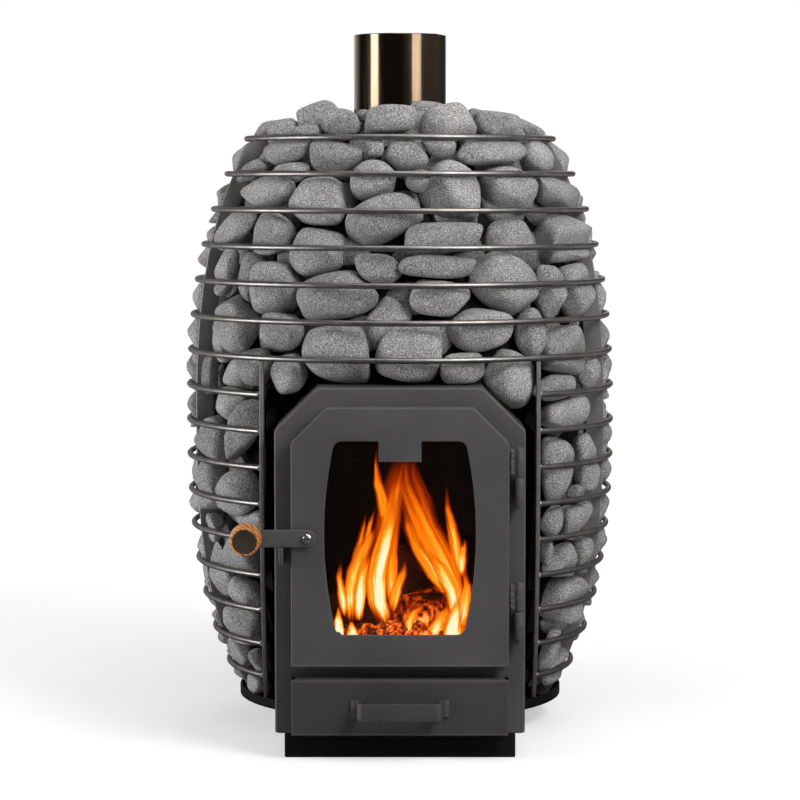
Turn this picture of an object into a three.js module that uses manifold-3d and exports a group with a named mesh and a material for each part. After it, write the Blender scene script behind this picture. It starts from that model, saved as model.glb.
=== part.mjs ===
import * as THREE from 'three';
import { mergeVertices } from 'three/addons/utils/BufferGeometryUtils.js';
import Module from 'manifold-3d';

// Wood-fired sauna heater, millimetres, +Z up, front towards -Y, cage axis on Z, floor at Z 0

// Fits
const SEAT_GAP = 0.3;
const RUN_GAP = 0.5;
const STONE_GAP = 1;

// Stone cage of round rods
const RING_COUNT = 16;
const FULL_RING_COUNT = 7;
const LINTEL_GAP = 30;
const ROD_DIAMETER = 7;
const CAGE_SIDE_GAP = 45;
const CAGE_BELLY = 73;
const CAGE_FULLNESS = 2.5;
const RIB_ANGLES = [75, 150, -150, -75];
const RIB_NAMES = ['right_side', 'right_rear', 'left_rear', 'left_side'];
const RIB_DEPTH = 22;
const RIB_THICKNESS = 4;
const RIB_RISE = 3;
const BAR_OFFSET = 18;
const BAR_DEPTH = 20;
const BAR_THICKNESS = 5;
const BAR_LIP = 5.5;
const TRAY_FLARE = 11;
const TRAY_PLATE = 3;
const TRAY_RIM_HEIGHT = 12;

// Stones
const HEAP_RISE = 43;
const HEAP_HEADROOM = 8;
const HEAP_SIDES = 104;
const HEAP_ROWS = 50;
const DOME_ROWS = 10;
const HEAP_CORE_DEPTH = 26;
const STONE_COURSES = 13;
const COURSE_JITTER = 0.45;
const COURSE_SPACING = 1.9;
const SMALL_HALF_WIDTH = 28;
const HALF_WIDTH_SPREAD = 18;
const SMALL_HALF_HEIGHT = 23;
const HALF_HEIGHT_SPREAD = 8;
const LEAN_SPREAD = 60;
const STONE_DEPTH_SHARE = 0.8;
const LEAST_HALF_DEPTH = 11;
const MOST_HALF_DEPTH = 27;
const STONE_FULLNESS = 1.06;
const SEEN_FRONT = 74;
const SEEN_TURN_LIMIT = 0.45;
const DOME_RINGS = [[160, 62], [102, 0]];

// Front view in which the outer stones are measured: its scale, middle, eye distance, eye height and dip
const VIEW_SCALE = 2815.6;
const VIEW_MIDDLE = [400.5, 400];
const EYE_DISTANCE = 3531;
const EYE_HEIGHT = 677;
const VIEW_DIP = 4.53;

// Outer stones at the front: column, row, half width and half height in that view, and lean in degrees
const CROWN_STONES = [
  [317, 119, 22, 16, 15], [343, 122, 20, 13, 0], [391, 120, 28, 14, 3], [426, 108, 18, 7, 0],
  [447, 124, 27, 19, 10], [478, 117, 10, 8, -20], [498, 124, 25, 14, -8], [531, 130, 17, 8, -22],
  [283, 130, 20, 8, 12], [307, 131, 13, 6, 5], [366, 117, 9, 7, 0],
];
const UPPER_STONES = [
  [250, 154, 14, 14, 50], [287, 151, 25, 14, 8], [336, 155, 27, 15, -5], [376, 148, 9, 10, 0],
  [408, 157, 24, 18, -20], [441, 147, 19, 9, 0], [490, 153, 34, 14, 3], [535, 159, 16, 18, 30],
  [218, 190, 14, 14, 35], [253, 170, 14, 9, 20], [286, 171, 19, 11, 5], [271, 191, 27, 16, 8],
  [321, 202, 30, 27, 0], [373, 181, 26, 24, 10], [418, 181, 12, 12, 40], [384, 216, 39, 24, 20],
  [454, 192, 32, 31, 0], [509, 189, 29, 23, -15], [555, 193, 22, 17, -15], [580, 197, 7, 13, 0],
  [207, 225, 9, 16, 5], [235, 229, 20, 15, 30], [275, 234, 22, 21, 0], [317, 252, 27, 26, -8],
  [443, 239, 38, 17, 8], [438, 266, 40, 13, -2], [486, 228, 11, 8, 15], [514, 243, 22, 26, 5],
  [564, 241, 28, 25, 0], [594, 229, 5, 16, 0],
];
const MIDDLE_STONES = [
  [204, 266, 6, 17, 0], [227, 273, 9, 26, -3], [248, 277, 12, 25, -6], [276, 289, 28, 28, -15],
  [336, 294, 41, 25, 8], [378, 270, 25, 16, -15], [438, 299, 30, 20, 0], [505, 283, 35, 30, -25],
  [551, 290, 14, 28, 0], [576, 291, 16, 29, 0], [597, 303, 6, 22, 0], [199, 300, 5, 18, 0],
  [237, 324, 21, 31, 0], [210, 337, 8, 24, 0], [281, 331, 22, 18, -15], [337, 352, 36, 31, 0],
  [354, 321, 11, 10, 0], [385, 324, 20, 30, -25], [484, 328, 33, 22, 3], [531, 332, 14, 26, 0],
  [410, 353, 36, 31, 0], [561, 352, 26, 25, -10], [463, 368, 23, 15, 10], [511, 380, 25, 29, -10],
  [255, 367, 16, 18, 0], [290, 373, 17, 20, 0], [231, 379, 18, 20, 0], [200, 373, 5, 20, 0],
  [590, 373, 8, 16, 0], [608, 368, 5, 15, 0],
];
const SIDE_STONES = [
  [191, 398, 5, 15, 0], [231, 402, 20, 22, 0], [252, 430, 23, 37, -25], [216, 437, 16, 22, 0],
  [192, 436, 4, 16, 0], [214, 484, 16, 27, 0], [241, 495, 22, 28, 0], [215, 527, 6, 14, 0],
  [243, 521, 20, 12, 0], [221, 572, 10, 29, 8], [244, 556, 20, 20, 0], [247, 592, 16, 17, 0],
  [246, 626, 19, 22, 0], [226, 616, 8, 15, 15], [241, 651, 10, 16, 25], [259, 660, 6, 13, 0],
  [259, 684, 9, 13, 0], [211, 594, 4, 16, 0], [236, 672, 6, 8, 0], [560, 387, 21, 14, 5],
  [566, 412, 25, 18, 0], [556, 468, 16, 34, 0], [585, 464, 11, 31, 15], [577, 494, 6, 9, 0],
  [552, 523, 10, 16, 0], [571, 521, 12, 17, 0], [590, 512, 10, 20, 12], [546, 552, 5, 14, 0],
  [562, 561, 17, 19, 0], [582, 554, 9, 19, 0], [564, 596, 20, 26, 0], [567, 622, 17, 15, 12],
  [549, 652, 8, 22, 0], [560, 655, 6, 15, 0], [585, 643, 7, 10, 0], [570, 667, 8, 6, 10],
  [549, 685, 9, 9, 0], [605, 430, 5, 17, 0], [606, 472, 5, 17, 0],
];

// Firebox body
const PLINTH_HEIGHT = 28;
const PLINTH_SIDE_INSET = 11;
const PLINTH_PLATE = 4;
const PLINTH_SLOT_HEIGHT = 10;
const BODY_WIDTH = 292;
const BODY_CHAMFER = 50;
const BODY_PROUD = 16;
const BODY_PLATE = 5;
const BODY_CORNER_MARGIN = 11;
const COLLAR_PLATE = 4;
const COLLAR_REACH = 14;
const HEARTH_LIFT = 8.3;
const HEARTH_PLATE = 5;
const GRATE_WIDTH = 180;
const GRATE_LENGTH = 240;
const GRATE_THICKNESS = 8;
const GRATE_SLOTS = 7;
const GRATE_SLOT_WIDTH = 10;
const GRATE_REST = 8;
const BAFFLE_PLATE = 5;
const BAFFLE_GAP = 150;

// Flue
const FLUE_DIAMETER = 115;
const FLUE_WALL = 2;
const FLUE_RISE = 128.7;
const FLUE_COLLAR_HEIGHT = 45;
const FLUE_COLLAR_WALL = 5;

// Door
const DOOR_SIDE_MARGIN = 20;
const DOOR_TOP_MARGIN = 21;
const DOOR_HEIGHT = 301;
const DOOR_CHAMFER = 41;
const DOOR_DEPTH = 25;
const DOOR_STANDOFF = 3;
const DOOR_SHEET = 4;
const DOOR_OVERLAP = 18;
const WINDOW_TOP_MARGIN = 38.8;
const WINDOW_BOTTOM_MARGIN = 37.7;
const WINDOW_TAPER = 1;
const WINDOW_BOW = 13;
const WINDOW_CORNER = 8;
const TAB_WIDTH = 49.5;
const TAB_DROP = 23.5;
const GLASS_OVERLAP = 6;
const GLASS_CORNER_GAP = 7.5;
const GLASS_THICKNESS = 4;
const GASKET_THICKNESS = 2.4;
const GASKET_WIDTH = 5;
const CLIP_SHEET = 2;
const CLIP_FOOT = 6;
const CLIP_HOLD = 6;
const CLIP_END_INSET = 32;
const CLIP_ROPE_GAP = 3.2;
const ROPE_WIDTH = 10;

// Door hinges
const HINGE_OFFSET = 12;
const HINGE_SETBACK = 13;
const KNUCKLE_DIAMETER = 11;
const KNUCKLE_LENGTH = 34.5;
const HINGE_LEAF = 6;
const PIN_DIAMETER = 6;
const PIN_COVER = 3;
const UPPER_HINGE_DROP = 81;
const LOWER_HINGE_RISE = 63;

// Latch
const LEVER_PIVOT_INSET = 19;
const LEVER_LENGTH = 70.5;
const LEVER_WIDTH = 20;
const LEVER_THICKNESS = 5;
const SCREW_HEAD_DIAMETER = 12;
const SCREW_HEAD_HEIGHT = 4.5;
const SCREW_SHANK_DIAMETER = 6;
const KNOB_DIAMETER = 36;
const KNOB_LENGTH = 30;
const KNOB_NECK_DIAMETER = 26;
const KNOB_DISC_DIAMETER = 27.5;
const KNOB_DISC_DEPTH = 3;
const KEEPER_OFFSET = 8.5;
const KEEPER_THICKNESS = 4.5;
const KEEPER_HEIGHT = 22;
const KEEPER_NOSE = 3;

// Ash drawer
const DRAWER_LIFT = 1.7;
const DRAWER_DOOR_GAP = 15.3;
const DRAWER_HEIGHT = 66;
const DRAWER_DEPTH = 22;
const PAN_SIDE_INSET = 26;
const PAN_DROP = 12.2;
const PAN_SHEET = 2;
const PAN_REAR_GAP = 14;
const PAN_SIDE_GAP = 4;
const PAN_TOP_GAP = 5;
const HANDLE_LENGTH = 98;
const HANDLE_WIDTH = 20;
const HANDLE_STRIP = 4;
const HANDLE_STANDOFF = 30;
const HANDLE_FOOT = 8;
const HANDLE_DROP = 33.5;

// Firewood
const LOG_WIDTH = 70;
const LOG_HEIGHT = 58;
const LOG_LENGTH = 205;
const LOG_SPACING = 105;
const TOP_LOG_ANGLE = 62;
const TOP_LOG_SHIFT = 22;

// Facet counts
const RING_SEGMENTS = 24;
const ROD_SIDES = 6;
const FLUE_SIDES = 36;
const TURNED_SIDES = 24;
const CURVE_STEPS = 10;

// Colours and finishes
const BLACK_STEEL = { color: 0x454343, roughness: 0.6, metalness: 0.35 };
const DARK_STEEL = { color: 0x1b1a1a, roughness: 0.7, metalness: 0.3 };
const ROD_STEEL = { color: 0x8c8784, roughness: 0.4, metalness: 0.8 };
const RIB_STEEL = { color: 0x4b4846, roughness: 0.55, metalness: 0.6 };
const FLUE_STEEL = { color: 0x5a4c3f, roughness: 0.2, metalness: 1 };
const BRIGHT_STEEL = { color: 0xd8d8d8, roughness: 0.25, metalness: 1 };
const CAST_IRON = { color: 0x262525, roughness: 0.85, metalness: 0.4 };
const STONE = { color: 0x858585, roughness: 0.95, metalness: 0 };
const ROPE = { color: 0x6d6a63, roughness: 1, metalness: 0 };
const GLASS = { color: 0x2a1c14, roughness: 0.05, metalness: 0, transparent: true, opacity: 0.35 };
const KNOB_WOOD = { color: 0xb46a2c, roughness: 0.55, metalness: 0 };
const DISC_BRONZE = { color: 0x51413a, roughness: 0.4, metalness: 0.7 };
const CHARRED_WOOD = { color: 0x2b1a12, roughness: 0.95, metalness: 0 };

// Heights and faces that several pieces share
const RIGHT_ANGLE = Math.PI / 2;
const HALF_BODY = BODY_WIDTH / 2;
const ROD_RADIUS = ROD_DIAMETER / 2;
const FLUE_RADIUS = FLUE_DIAMETER / 2;
const CAGE_END_RADIUS = HALF_BODY + CAGE_SIDE_GAP;
const CAGE_RADIUS = CAGE_END_RADIUS + CAGE_BELLY;
const BODY_BOTTOM = PLINTH_HEIGHT + SEAT_GAP;
const DRAWER_BOTTOM = BODY_BOTTOM + DRAWER_LIFT;
const DRAWER_TOP = DRAWER_BOTTOM + DRAWER_HEIGHT;
const DOOR_BOTTOM = DRAWER_TOP + DRAWER_DOOR_GAP;
const DOOR_TOP = DOOR_BOTTOM + DOOR_HEIGHT;
const DOOR_MIDDLE = (DOOR_BOTTOM + DOOR_TOP) / 2;
const BODY_TOP = DOOR_TOP + DOOR_TOP_MARGIN;
const BODY_FRONT = -CAGE_RADIUS - BODY_PROUD;
const RING_PITCH = (BODY_TOP - BODY_BOTTOM + LINTEL_GAP) / (RING_COUNT - FULL_RING_COUNT + 1);
const TRAY_RADIUS = CAGE_END_RADIUS + TRAY_FLARE;
const TRAY_TOP = BODY_BOTTOM + TRAY_PLATE;
const HEAP_BOTTOM = TRAY_TOP + SEAT_GAP;
const BODY_BACK = Math.sqrt((TRAY_RADIUS - TRAY_PLATE - BODY_CORNER_MARGIN) ** 2 - HALF_BODY ** 2);
const ROOM_FRONT = BODY_FRONT + BODY_PLATE + SEAT_GAP;
const ROOM_BACK = BODY_BACK - BODY_PLATE - SEAT_GAP;
const ROOM_FLOOR = BODY_BOTTOM + BODY_PLATE;
const ROOM_HALF = HALF_BODY - BODY_PLATE;
const ROOM_CHAMFER = BODY_CHAMFER - BODY_PLATE * (2 - Math.SQRT2);
const ROOM_TOP = BODY_TOP - BODY_PLATE;
const HEARTH_BOTTOM = DRAWER_TOP + HEARTH_LIFT;
const HEARTH_TOP = HEARTH_BOTTOM + HEARTH_PLATE;
const HEARTH_MIDDLE = (ROOM_FRONT + ROOM_BACK) / 2;
const GRATE_TOP = HEARTH_TOP + SEAT_GAP + GRATE_THICKNESS;
const BAR_INNER = HALF_BODY + BAR_OFFSET - BAR_THICKNESS / 2;
const BAR_OUTER = BAR_INNER + BAR_THICKNESS;
const TOP_RING_HEIGHT = BODY_BOTTOM + RING_COUNT * RING_PITCH;
const FLUE_TOP = TOP_RING_HEIGHT + FLUE_RISE;
const HALF_DOOR = HALF_BODY - DOOR_SIDE_MARGIN;
const DOOR_BACK = BODY_FRONT - DOOR_STANDOFF;
const DOOR_FRONT = DOOR_BACK - DOOR_DEPTH;
const DOOR_INSIDE = DOOR_FRONT + DOOR_SHEET;
const MOUTH_HALF = HALF_DOOR - DOOR_OVERLAP;
const MOUTH_BOTTOM = DOOR_BOTTOM + DOOR_OVERLAP;
const MOUTH_TOP = DOOR_TOP - DOOR_OVERLAP;
const WINDOW_TOP = DOOR_TOP - WINDOW_TOP_MARGIN;
const WINDOW_BOTTOM = DOOR_BOTTOM + WINDOW_BOTTOM_MARGIN;
const WINDOW_HEIGHT = WINDOW_TOP - WINDOW_BOTTOM;
const ROPE_OUTER_MARGIN = DOOR_OVERLAP - (COLLAR_PLATE + ROPE_WIDTH) / 2;
const ROPE_INNER_MARGIN = ROPE_OUTER_MARGIN + ROPE_WIDTH;
const CLIP_WALL = HALF_DOOR - ROPE_INNER_MARGIN - CLIP_ROPE_GAP - CLIP_FOOT - CLIP_SHEET;
const GLASS_HALF = CLIP_WALL - SEAT_GAP;
const GLASS_TOP = WINDOW_TOP + GLASS_OVERLAP;
const GLASS_BOTTOM = WINDOW_BOTTOM - GLASS_OVERLAP;
const WINDOW_HALF = GLASS_HALF - GLASS_OVERLAP;
const WINDOW_TOP_HALF = WINDOW_HALF - WINDOW_BOW + WINDOW_TAPER;
const WINDOW_BOTTOM_HALF = WINDOW_HALF - WINDOW_BOW - WINDOW_TAPER;
const GLASS_FRONT = DOOR_INSIDE + GASKET_THICKNESS + 2 * SEAT_GAP;
const HINGE_X = HALF_DOOR + HINGE_OFFSET;
const HINGE_Y = DOOR_FRONT + HINGE_SETBACK;
const LEVER_X = LEVER_PIVOT_INSET - HALF_DOOR;
const LEVER_Z = DOOR_MIDDLE;
const LEVER_BACK = DOOR_FRONT - RUN_GAP;
const LEVER_FRONT = LEVER_BACK - LEVER_THICKNESS;
const PIN_BORE = boreAround(PIN_DIAMETER / 2, SEAT_GAP);
const SHANK_BORE = boreAround(SCREW_SHANK_DIAMETER / 2, SEAT_GAP);
const UPPER_HINGE_SPLIT = DOOR_TOP - UPPER_HINGE_DROP;
const LOWER_HINGE_SPLIT = DOOR_BOTTOM + LOWER_HINGE_RISE;
const DRAWER_BACK = BODY_FRONT - DOOR_STANDOFF;
const DRAWER_FRONT = DRAWER_BACK - DRAWER_DEPTH;
const PAN_HALF = HALF_DOOR - PAN_SIDE_INSET;
const PAN_BOTTOM = ROOM_FLOOR + RUN_GAP;
const PAN_TOP = DRAWER_TOP - PAN_DROP;

const wasm = await Module();
wasm.setup();

// A closed solid that can be joined and cut, from a geometry
function toSolid(geometry) {
  const bare = geometry.clone();
  bare.deleteAttribute('normal');
  bare.deleteAttribute('uv');
  const welded = mergeVertices(bare, 1e-3);
  return new wasm.Manifold(new wasm.Mesh({
    numProp: 3,
    vertProperties: new Float32Array(welded.attributes.position.array),
    triVerts: new Uint32Array(welded.index.array),
  }));
}

// The geometry of a solid
function toGeometry(solid) {
  const { vertProperties, triVerts } = solid.getMesh();
  const geometry = new THREE.BufferGeometry();
  geometry.setAttribute('position', new THREE.BufferAttribute(new Float32Array(vertProperties), 3));
  geometry.setIndex(new THREE.BufferAttribute(new Uint32Array(triVerts), 1));
  const faceted = geometry.toNonIndexed();
  faceted.computeVertexNormals();
  return faceted;
}

function join(first, ...others) {
  return toGeometry(others.reduce((sum, part) => sum.add(toSolid(part)), toSolid(first)));
}

function cut(first, ...others) {
  return toGeometry(others.reduce((rest, part) => rest.subtract(toSolid(part)), toSolid(first)));
}

function common(first, second) {
  return toGeometry(toSolid(first).intersect(toSolid(second)));
}

// A box between two opposite corners
function block([x0, y0, z0], [x1, y1, z1]) {
  const geometry = new THREE.BoxGeometry(x1 - x0, y1 - y0, z1 - z0);
  return geometry.translate((x0 + x1) / 2, (y0 + y1) / 2, (z0 + z1) / 2);
}

function extrude(shape, depth) {
  return new THREE.ExtrudeGeometry(shape, { depth, bevelEnabled: false, curveSegments: CURVE_STEPS });
}

// An outline drawn in X and Z, thickened from a front face towards the back
function facing(shape, front, thickness) {
  return extrude(shape, thickness).rotateX(RIGHT_ANGLE).translate(0, front + thickness, 0);
}

// An outline drawn in X and Y, thickened upwards
function lying(shape, bottom, thickness) {
  return extrude(shape, thickness).translate(0, 0, bottom);
}

// An outline drawn in Y and Z, thickened towards +X
function standing(shape, left, thickness) {
  const turn = new THREE.Matrix4().makeBasis(
    new THREE.Vector3(0, 1, 0), new THREE.Vector3(0, 0, 1), new THREE.Vector3(1, 0, 0));
  return extrude(shape, thickness).applyMatrix4(turn).translate(left, 0, 0);
}

function polygon(points) {
  return new THREE.Shape(points.map(([x, y]) => new THREE.Vector2(x, y)));
}

// A pin or bore along Z between two heights
function upright(radius, bottom, top, sides) {
  const geometry = new THREE.CylinderGeometry(radius, radius, top - bottom, sides);
  return geometry.rotateX(RIGHT_ANGLE).translate(0, 0, (bottom + top) / 2);
}

// A pin or bore along Y between two faces
function level(radius, front, back, sides) {
  return new THREE.CylinderGeometry(radius, radius, back - front, sides).translate(0, (front + back) / 2, 0);
}

// A ring of rectangular section around Z
function sleeve(inner, outer, bottom, top) {
  const section = [[inner, bottom], [outer, bottom], [outer, top], [inner, top], [inner, bottom]];
  const points = section.map(([radius, height]) => new THREE.Vector2(radius, height));
  return new THREE.LatheGeometry(points, FLUE_SIDES).rotateX(RIGHT_ANGLE);
}

// A hole radius whose flats clear a faceted pin
function boreAround(radius, clearance) {
  return (radius + clearance) / Math.cos(Math.PI / TURNED_SIDES);
}

// A rectangle centred on the first axis
function rectangle(half, near, far) {
  return polygon([[-half, near], [half, near], [half, far], [-half, far]]);
}

// A front outline with two cut-off upper corners
function archPoints(half, bottom, top, chamfer) {
  return [[-half, bottom], [half, bottom], [half, top - chamfer], [half - chamfer, top],
    [chamfer - half, top], [-half, top - chamfer]];
}

function arch(half, bottom, top, chamfer) {
  return polygon(archPoints(half, bottom, top, chamfer));
}

// The chamfer of a cut-corner outline set in by an even margin
function innerChamfer(chamfer, margin) {
  return chamfer - margin * (2 - Math.SQRT2);
}

// Radius of the rod centre line at a height
function cageRadius(height) {
  const halfHeight = (RING_COUNT * RING_PITCH) / 2;
  const endShare = (CAGE_END_RADIUS / CAGE_RADIUS) ** CAGE_FULLNESS;
  const pole = halfHeight / (1 - endShare) ** (1 / CAGE_FULLNESS);
  const share = Math.abs(height - BODY_BOTTOM - halfHeight) / pole;
  return CAGE_RADIUS * (1 - Math.min(share, 1) ** CAGE_FULLNESS) ** (1 / CAGE_FULLNESS);
}

// Height of a rod ring, counted from the top
function ringHeight(ring) {
  return TOP_RING_HEIGHT - (ring - 1) * RING_PITCH;
}

function cageRing(ring) {
  const height = ringHeight(ring);
  const torus = new THREE.TorusGeometry(cageRadius(height), ROD_RADIUS, ROD_SIDES, RING_SEGMENTS);
  torus.translate(0, 0, height);
  if (ring <= FULL_RING_COUNT) {
    return torus;
  }
  const half = BAR_OUTER + SEAT_GAP;
  const doorway = block([-half, -2 * CAGE_RADIUS, height - ROD_DIAMETER], [half, 0, height + ROD_DIAMETER]);
  return cut(torus, doorway);
}

// Heights of a curved edge, from a lower to an upper end
function curveHeights(bottom, top, steps = RING_COUNT) {
  return Array.from({ length: steps + 1 }, (_, step) => bottom + ((top - bottom) * step) / steps);
}

// A radial fin along the inside of the rods
function ribBlank(grow, open) {
  const cornerLoss = (RIB_THICKNESS / 2) * Math.tan(Math.PI / RING_SEGMENTS);
  const bottom = TRAY_TOP + SEAT_GAP;
  const top = TOP_RING_HEIGHT + RIB_RISE;
  const heights = curveHeights(bottom, top);
  const reach = (height) => cageRadius(height) - ROD_RADIUS - SEAT_GAP - cornerLoss;
  const outer = heights.map((height) => [reach(height) + open, height]);
  const inner = heights.map((height) => [reach(height) - RIB_DEPTH - grow, height]);
  const outline = [...outer, [reach(top) - RIB_DEPTH / 2, top + RIB_DEPTH / 4], ...inner.reverse()];
  const thickness = RIB_THICKNESS + 2 * grow;
  return extrude(polygon(outline), thickness).rotateX(RIGHT_ANGLE).translate(0, thickness / 2, 0);
}

function cageRib(angle, grow = 0, open = 0) {
  return ribBlank(grow, open).rotateZ(THREE.MathUtils.degToRad(angle - 90));
}

// Front edge of the opening bars at a height
function barFront(height) {
  return -Math.sqrt(cageRadius(height) ** 2 - BAR_OUTER ** 2) - BAR_LIP;
}

// An upright bar that the cut rings end on
function openingBar(left, grow = 0, open = 0) {
  const top = ringHeight(FULL_RING_COUNT) - ROD_RADIUS - SEAT_GAP;
  const heights = curveHeights(TRAY_TOP + SEAT_GAP, top);
  const front = heights.map((height) => [barFront(height) - open, height]);
  const back = heights.map((height) => [barFront(height) + BAR_DEPTH + grow, height]);
  return standing(polygon([...front, ...back.reverse()]), left - grow, BAR_THICKNESS + 2 * grow);
}

// A rimmed dish around the body, notched for the opening bars
function stoneTray() {
  const inside = TRAY_RADIUS - TRAY_PLATE;
  const rim = BODY_BOTTOM + TRAY_RIM_HEIGHT;
  const section = [[0, BODY_BOTTOM], [TRAY_RADIUS, BODY_BOTTOM], [TRAY_RADIUS, rim], [inside, rim],
    [inside, TRAY_TOP], [0, TRAY_TOP]];
  const points = section.map(([radius, height]) => new THREE.Vector2(radius, height));
  const dish = new THREE.LatheGeometry(points, RING_SEGMENTS).rotateX(RIGHT_ANGLE);
  const half = HALF_BODY + SEAT_GAP;
  const body = block([-half, -2 * TRAY_RADIUS, 0], [half, BODY_BACK + SEAT_GAP, 2 * TRAY_TOP]);
  const notches = [-BAR_OUTER, BAR_INNER].map((left) => openingBar(left, SEAT_GAP, SEAT_GAP));
  return cut(dish, body, ...notches);
}

// Radius that the stones stay within at a height, behind the rods and their corners
function heapRadius(height) {
  const tuck = ROD_RADIUS + 2 * STONE_GAP + CAGE_RADIUS * (1 - Math.cos(Math.PI / RING_SEGMENTS));
  if (height <= TOP_RING_HEIGHT) return cageRadius(height) - tuck;
  const share = Math.min((height - TOP_RING_HEIGHT) / HEAP_RISE, 1);
  return (cageRadius(TOP_RING_HEIGHT) - tuck) * Math.sqrt(1 - share ** 2);
}

// A place on the heap, with turn 0 at the front and positive turns to the right
function aroundHeap(radius, turn, height) {
  return new THREE.Vector3(radius * Math.sin(turn), -radius * Math.cos(turn), height);
}

// First place on the heap along a line of sight of the front view, or the nearest one beside it
function seenOnHeap(column, row) {
  const dip = THREE.MathUtils.degToRad(VIEW_DIP);
  const right = (column - VIEW_MIDDLE[0]) / VIEW_SCALE;
  const up = (VIEW_MIDDLE[1] - row) / VIEW_SCALE;
  const line = new THREE.Vector3(right, Math.cos(dip) + up * Math.sin(dip), up * Math.cos(dip) - Math.sin(dip));
  const eye = new THREE.Vector3(0, -EYE_DISTANCE, EYE_HEIGHT);
  let nearest = eye;
  let nearestGap = EYE_DISTANCE;
  for (let reach = EYE_DISTANCE - 1.3 * CAGE_RADIUS; reach < EYE_DISTANCE + CAGE_RADIUS; reach += 2) {
    const place = eye.clone().addScaledVector(line, reach);
    const gap = Math.hypot(place.x, place.y) - heapRadius(place.z);
    if (gap < nearestGap) {
      nearest = place;
      nearestGap = gap;
    }
    if (gap <= 0) break;
  }
  return { place: nearest, scale: nearest.distanceTo(eye) / VIEW_SCALE };
}

// Direction out of the heap at a place on it
function outOfHeap(place) {
  const step = 2;
  const slope = (heapRadius(place.z + step) - heapRadius(place.z - step)) / (2 * step);
  const flat = new THREE.Vector3(place.x, place.y, 0).normalize();
  return flat.setZ(-THREE.MathUtils.clamp(slope, -6, 0.8)).normalize();
}

// A stone that touches the heap's outside from within, its width level unless it leans
function stoneAt(place, normal, halfWidth, halfHeight, lean) {
  const halfDepth = THREE.MathUtils.clamp(
    STONE_DEPTH_SHARE * Math.min(halfWidth, halfHeight), LEAST_HALF_DEPTH, MOST_HALF_DEPTH);
  const wide = new THREE.Vector3(-place.y, place.x, 0).normalize();
  if (normal.y === -1) wide.set(1, 0, 0);
  const tall = normal.clone().cross(wide);
  const middle = place.clone().addScaledVector(normal, -halfDepth);
  const pose = new THREE.Matrix4().makeBasis(wide, tall, normal).setPosition(middle);
  pose.multiply(new THREE.Matrix4().makeRotationZ(THREE.MathUtils.degToRad(lean)));
  const size = new THREE.Vector3(halfWidth, halfHeight, halfDepth).multiplyScalar(STONE_FULLNESS);
  return { middle, halfWidth, reach: Math.max(halfWidth, halfHeight), toBall: pose.scale(size).invert() };
}

// How far a stone reaches from a place in a direction, or 0 where it isn't met
function stoneReach(stone, place, direction) {
  if (place.distanceTo(stone.middle) > 2 * stone.reach + HEAP_CORE_DEPTH) return 0;
  const start = place.clone().applyMatrix4(stone.toBall);
  const step = place.clone().add(direction).applyMatrix4(stone.toBall).sub(start);
  const along = start.dot(step);
  const inside = along ** 2 - step.lengthSq() * (start.lengthSq() - 1);
  return inside > 0 ? (Math.sqrt(inside) - along) / step.lengthSq() : 0;
}

// A stone at the front, as wide and high as the front view shows it
function seenStone([column, row, halfWidth, halfHeight, lean]) {
  const { place, scale } = seenOnHeap(column, row);
  const turned = Math.max(-place.y / Math.hypot(place.x, place.y), SEEN_TURN_LIMIT);
  return stoneAt(place, outOfHeap(place), halfWidth * scale / turned, halfHeight * scale, lean);
}

// A stone on the crown, upright towards the front
function crownStone([column, row, halfWidth, halfHeight, lean]) {
  const { place, scale } = seenOnHeap(column, row);
  return stoneAt(place, new THREE.Vector3(0, -1, 0), halfWidth * scale, halfHeight * scale, lean);
}

// A value between 0 and 1 that looks random but is the same each time
function chance(seed) {
  const value = Math.sin(seed * 12.9898) * 43758.5453;
  return value - Math.floor(value);
}

// A stone of middling size on the heap, its shape set by a seed
function plainStone(place, seed) {
  const halfWidth = SMALL_HALF_WIDTH + HALF_WIDTH_SPREAD * chance(seed);
  const halfHeight = SMALL_HALF_HEIGHT + HALF_HEIGHT_SPREAD * chance(seed + 0.3);
  return stoneAt(place, outOfHeap(place), halfWidth, halfHeight, LEAN_SPREAD * (chance(seed + 0.6) - 0.5));
}

// Courses of stones around the sides and back of the heap
function courseStones() {
  const stones = [];
  const pitch = (TOP_RING_HEIGHT - HEAP_BOTTOM) / STONE_COURSES;
  const front = THREE.MathUtils.degToRad(SEEN_FRONT);
  for (let course = 0; course < STONE_COURSES; course += 1) {
    let seed = 40 * course;
    let turn = front + 0.2 * chance(seed);
    while (turn < 2 * Math.PI - front) {
      seed += 1;
      const height = HEAP_BOTTOM + pitch * (course + 0.5 + COURSE_JITTER * (chance(seed + 0.8) - 0.5));
      const radius = heapRadius(height);
      const stone = plainStone(aroundHeap(radius, turn, height), seed);
      turn += COURSE_SPACING * stone.halfWidth / radius;
      stones.push(stone);
    }
  }
  return stones;
}

// Rings of stones on the dome, the outermost one open at the front
function domeStones() {
  const stones = [];
  DOME_RINGS.forEach(([radius, front], ring) => {
    const share = radius / cageRadius(TOP_RING_HEIGHT);
    const height = TOP_RING_HEIGHT + HEAP_RISE * Math.sqrt(1 - share ** 2);
    const start = THREE.MathUtils.degToRad(front);
    let seed = 900 + 40 * ring;
    let turn = start;
    while (turn < 2 * Math.PI - start) {
      seed += 1;
      const stone = plainStone(aroundHeap(radius, turn, height), seed);
      turn += COURSE_SPACING * stone.halfWidth / radius;
      stones.push(stone);
    }
  });
  return stones;
}

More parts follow.
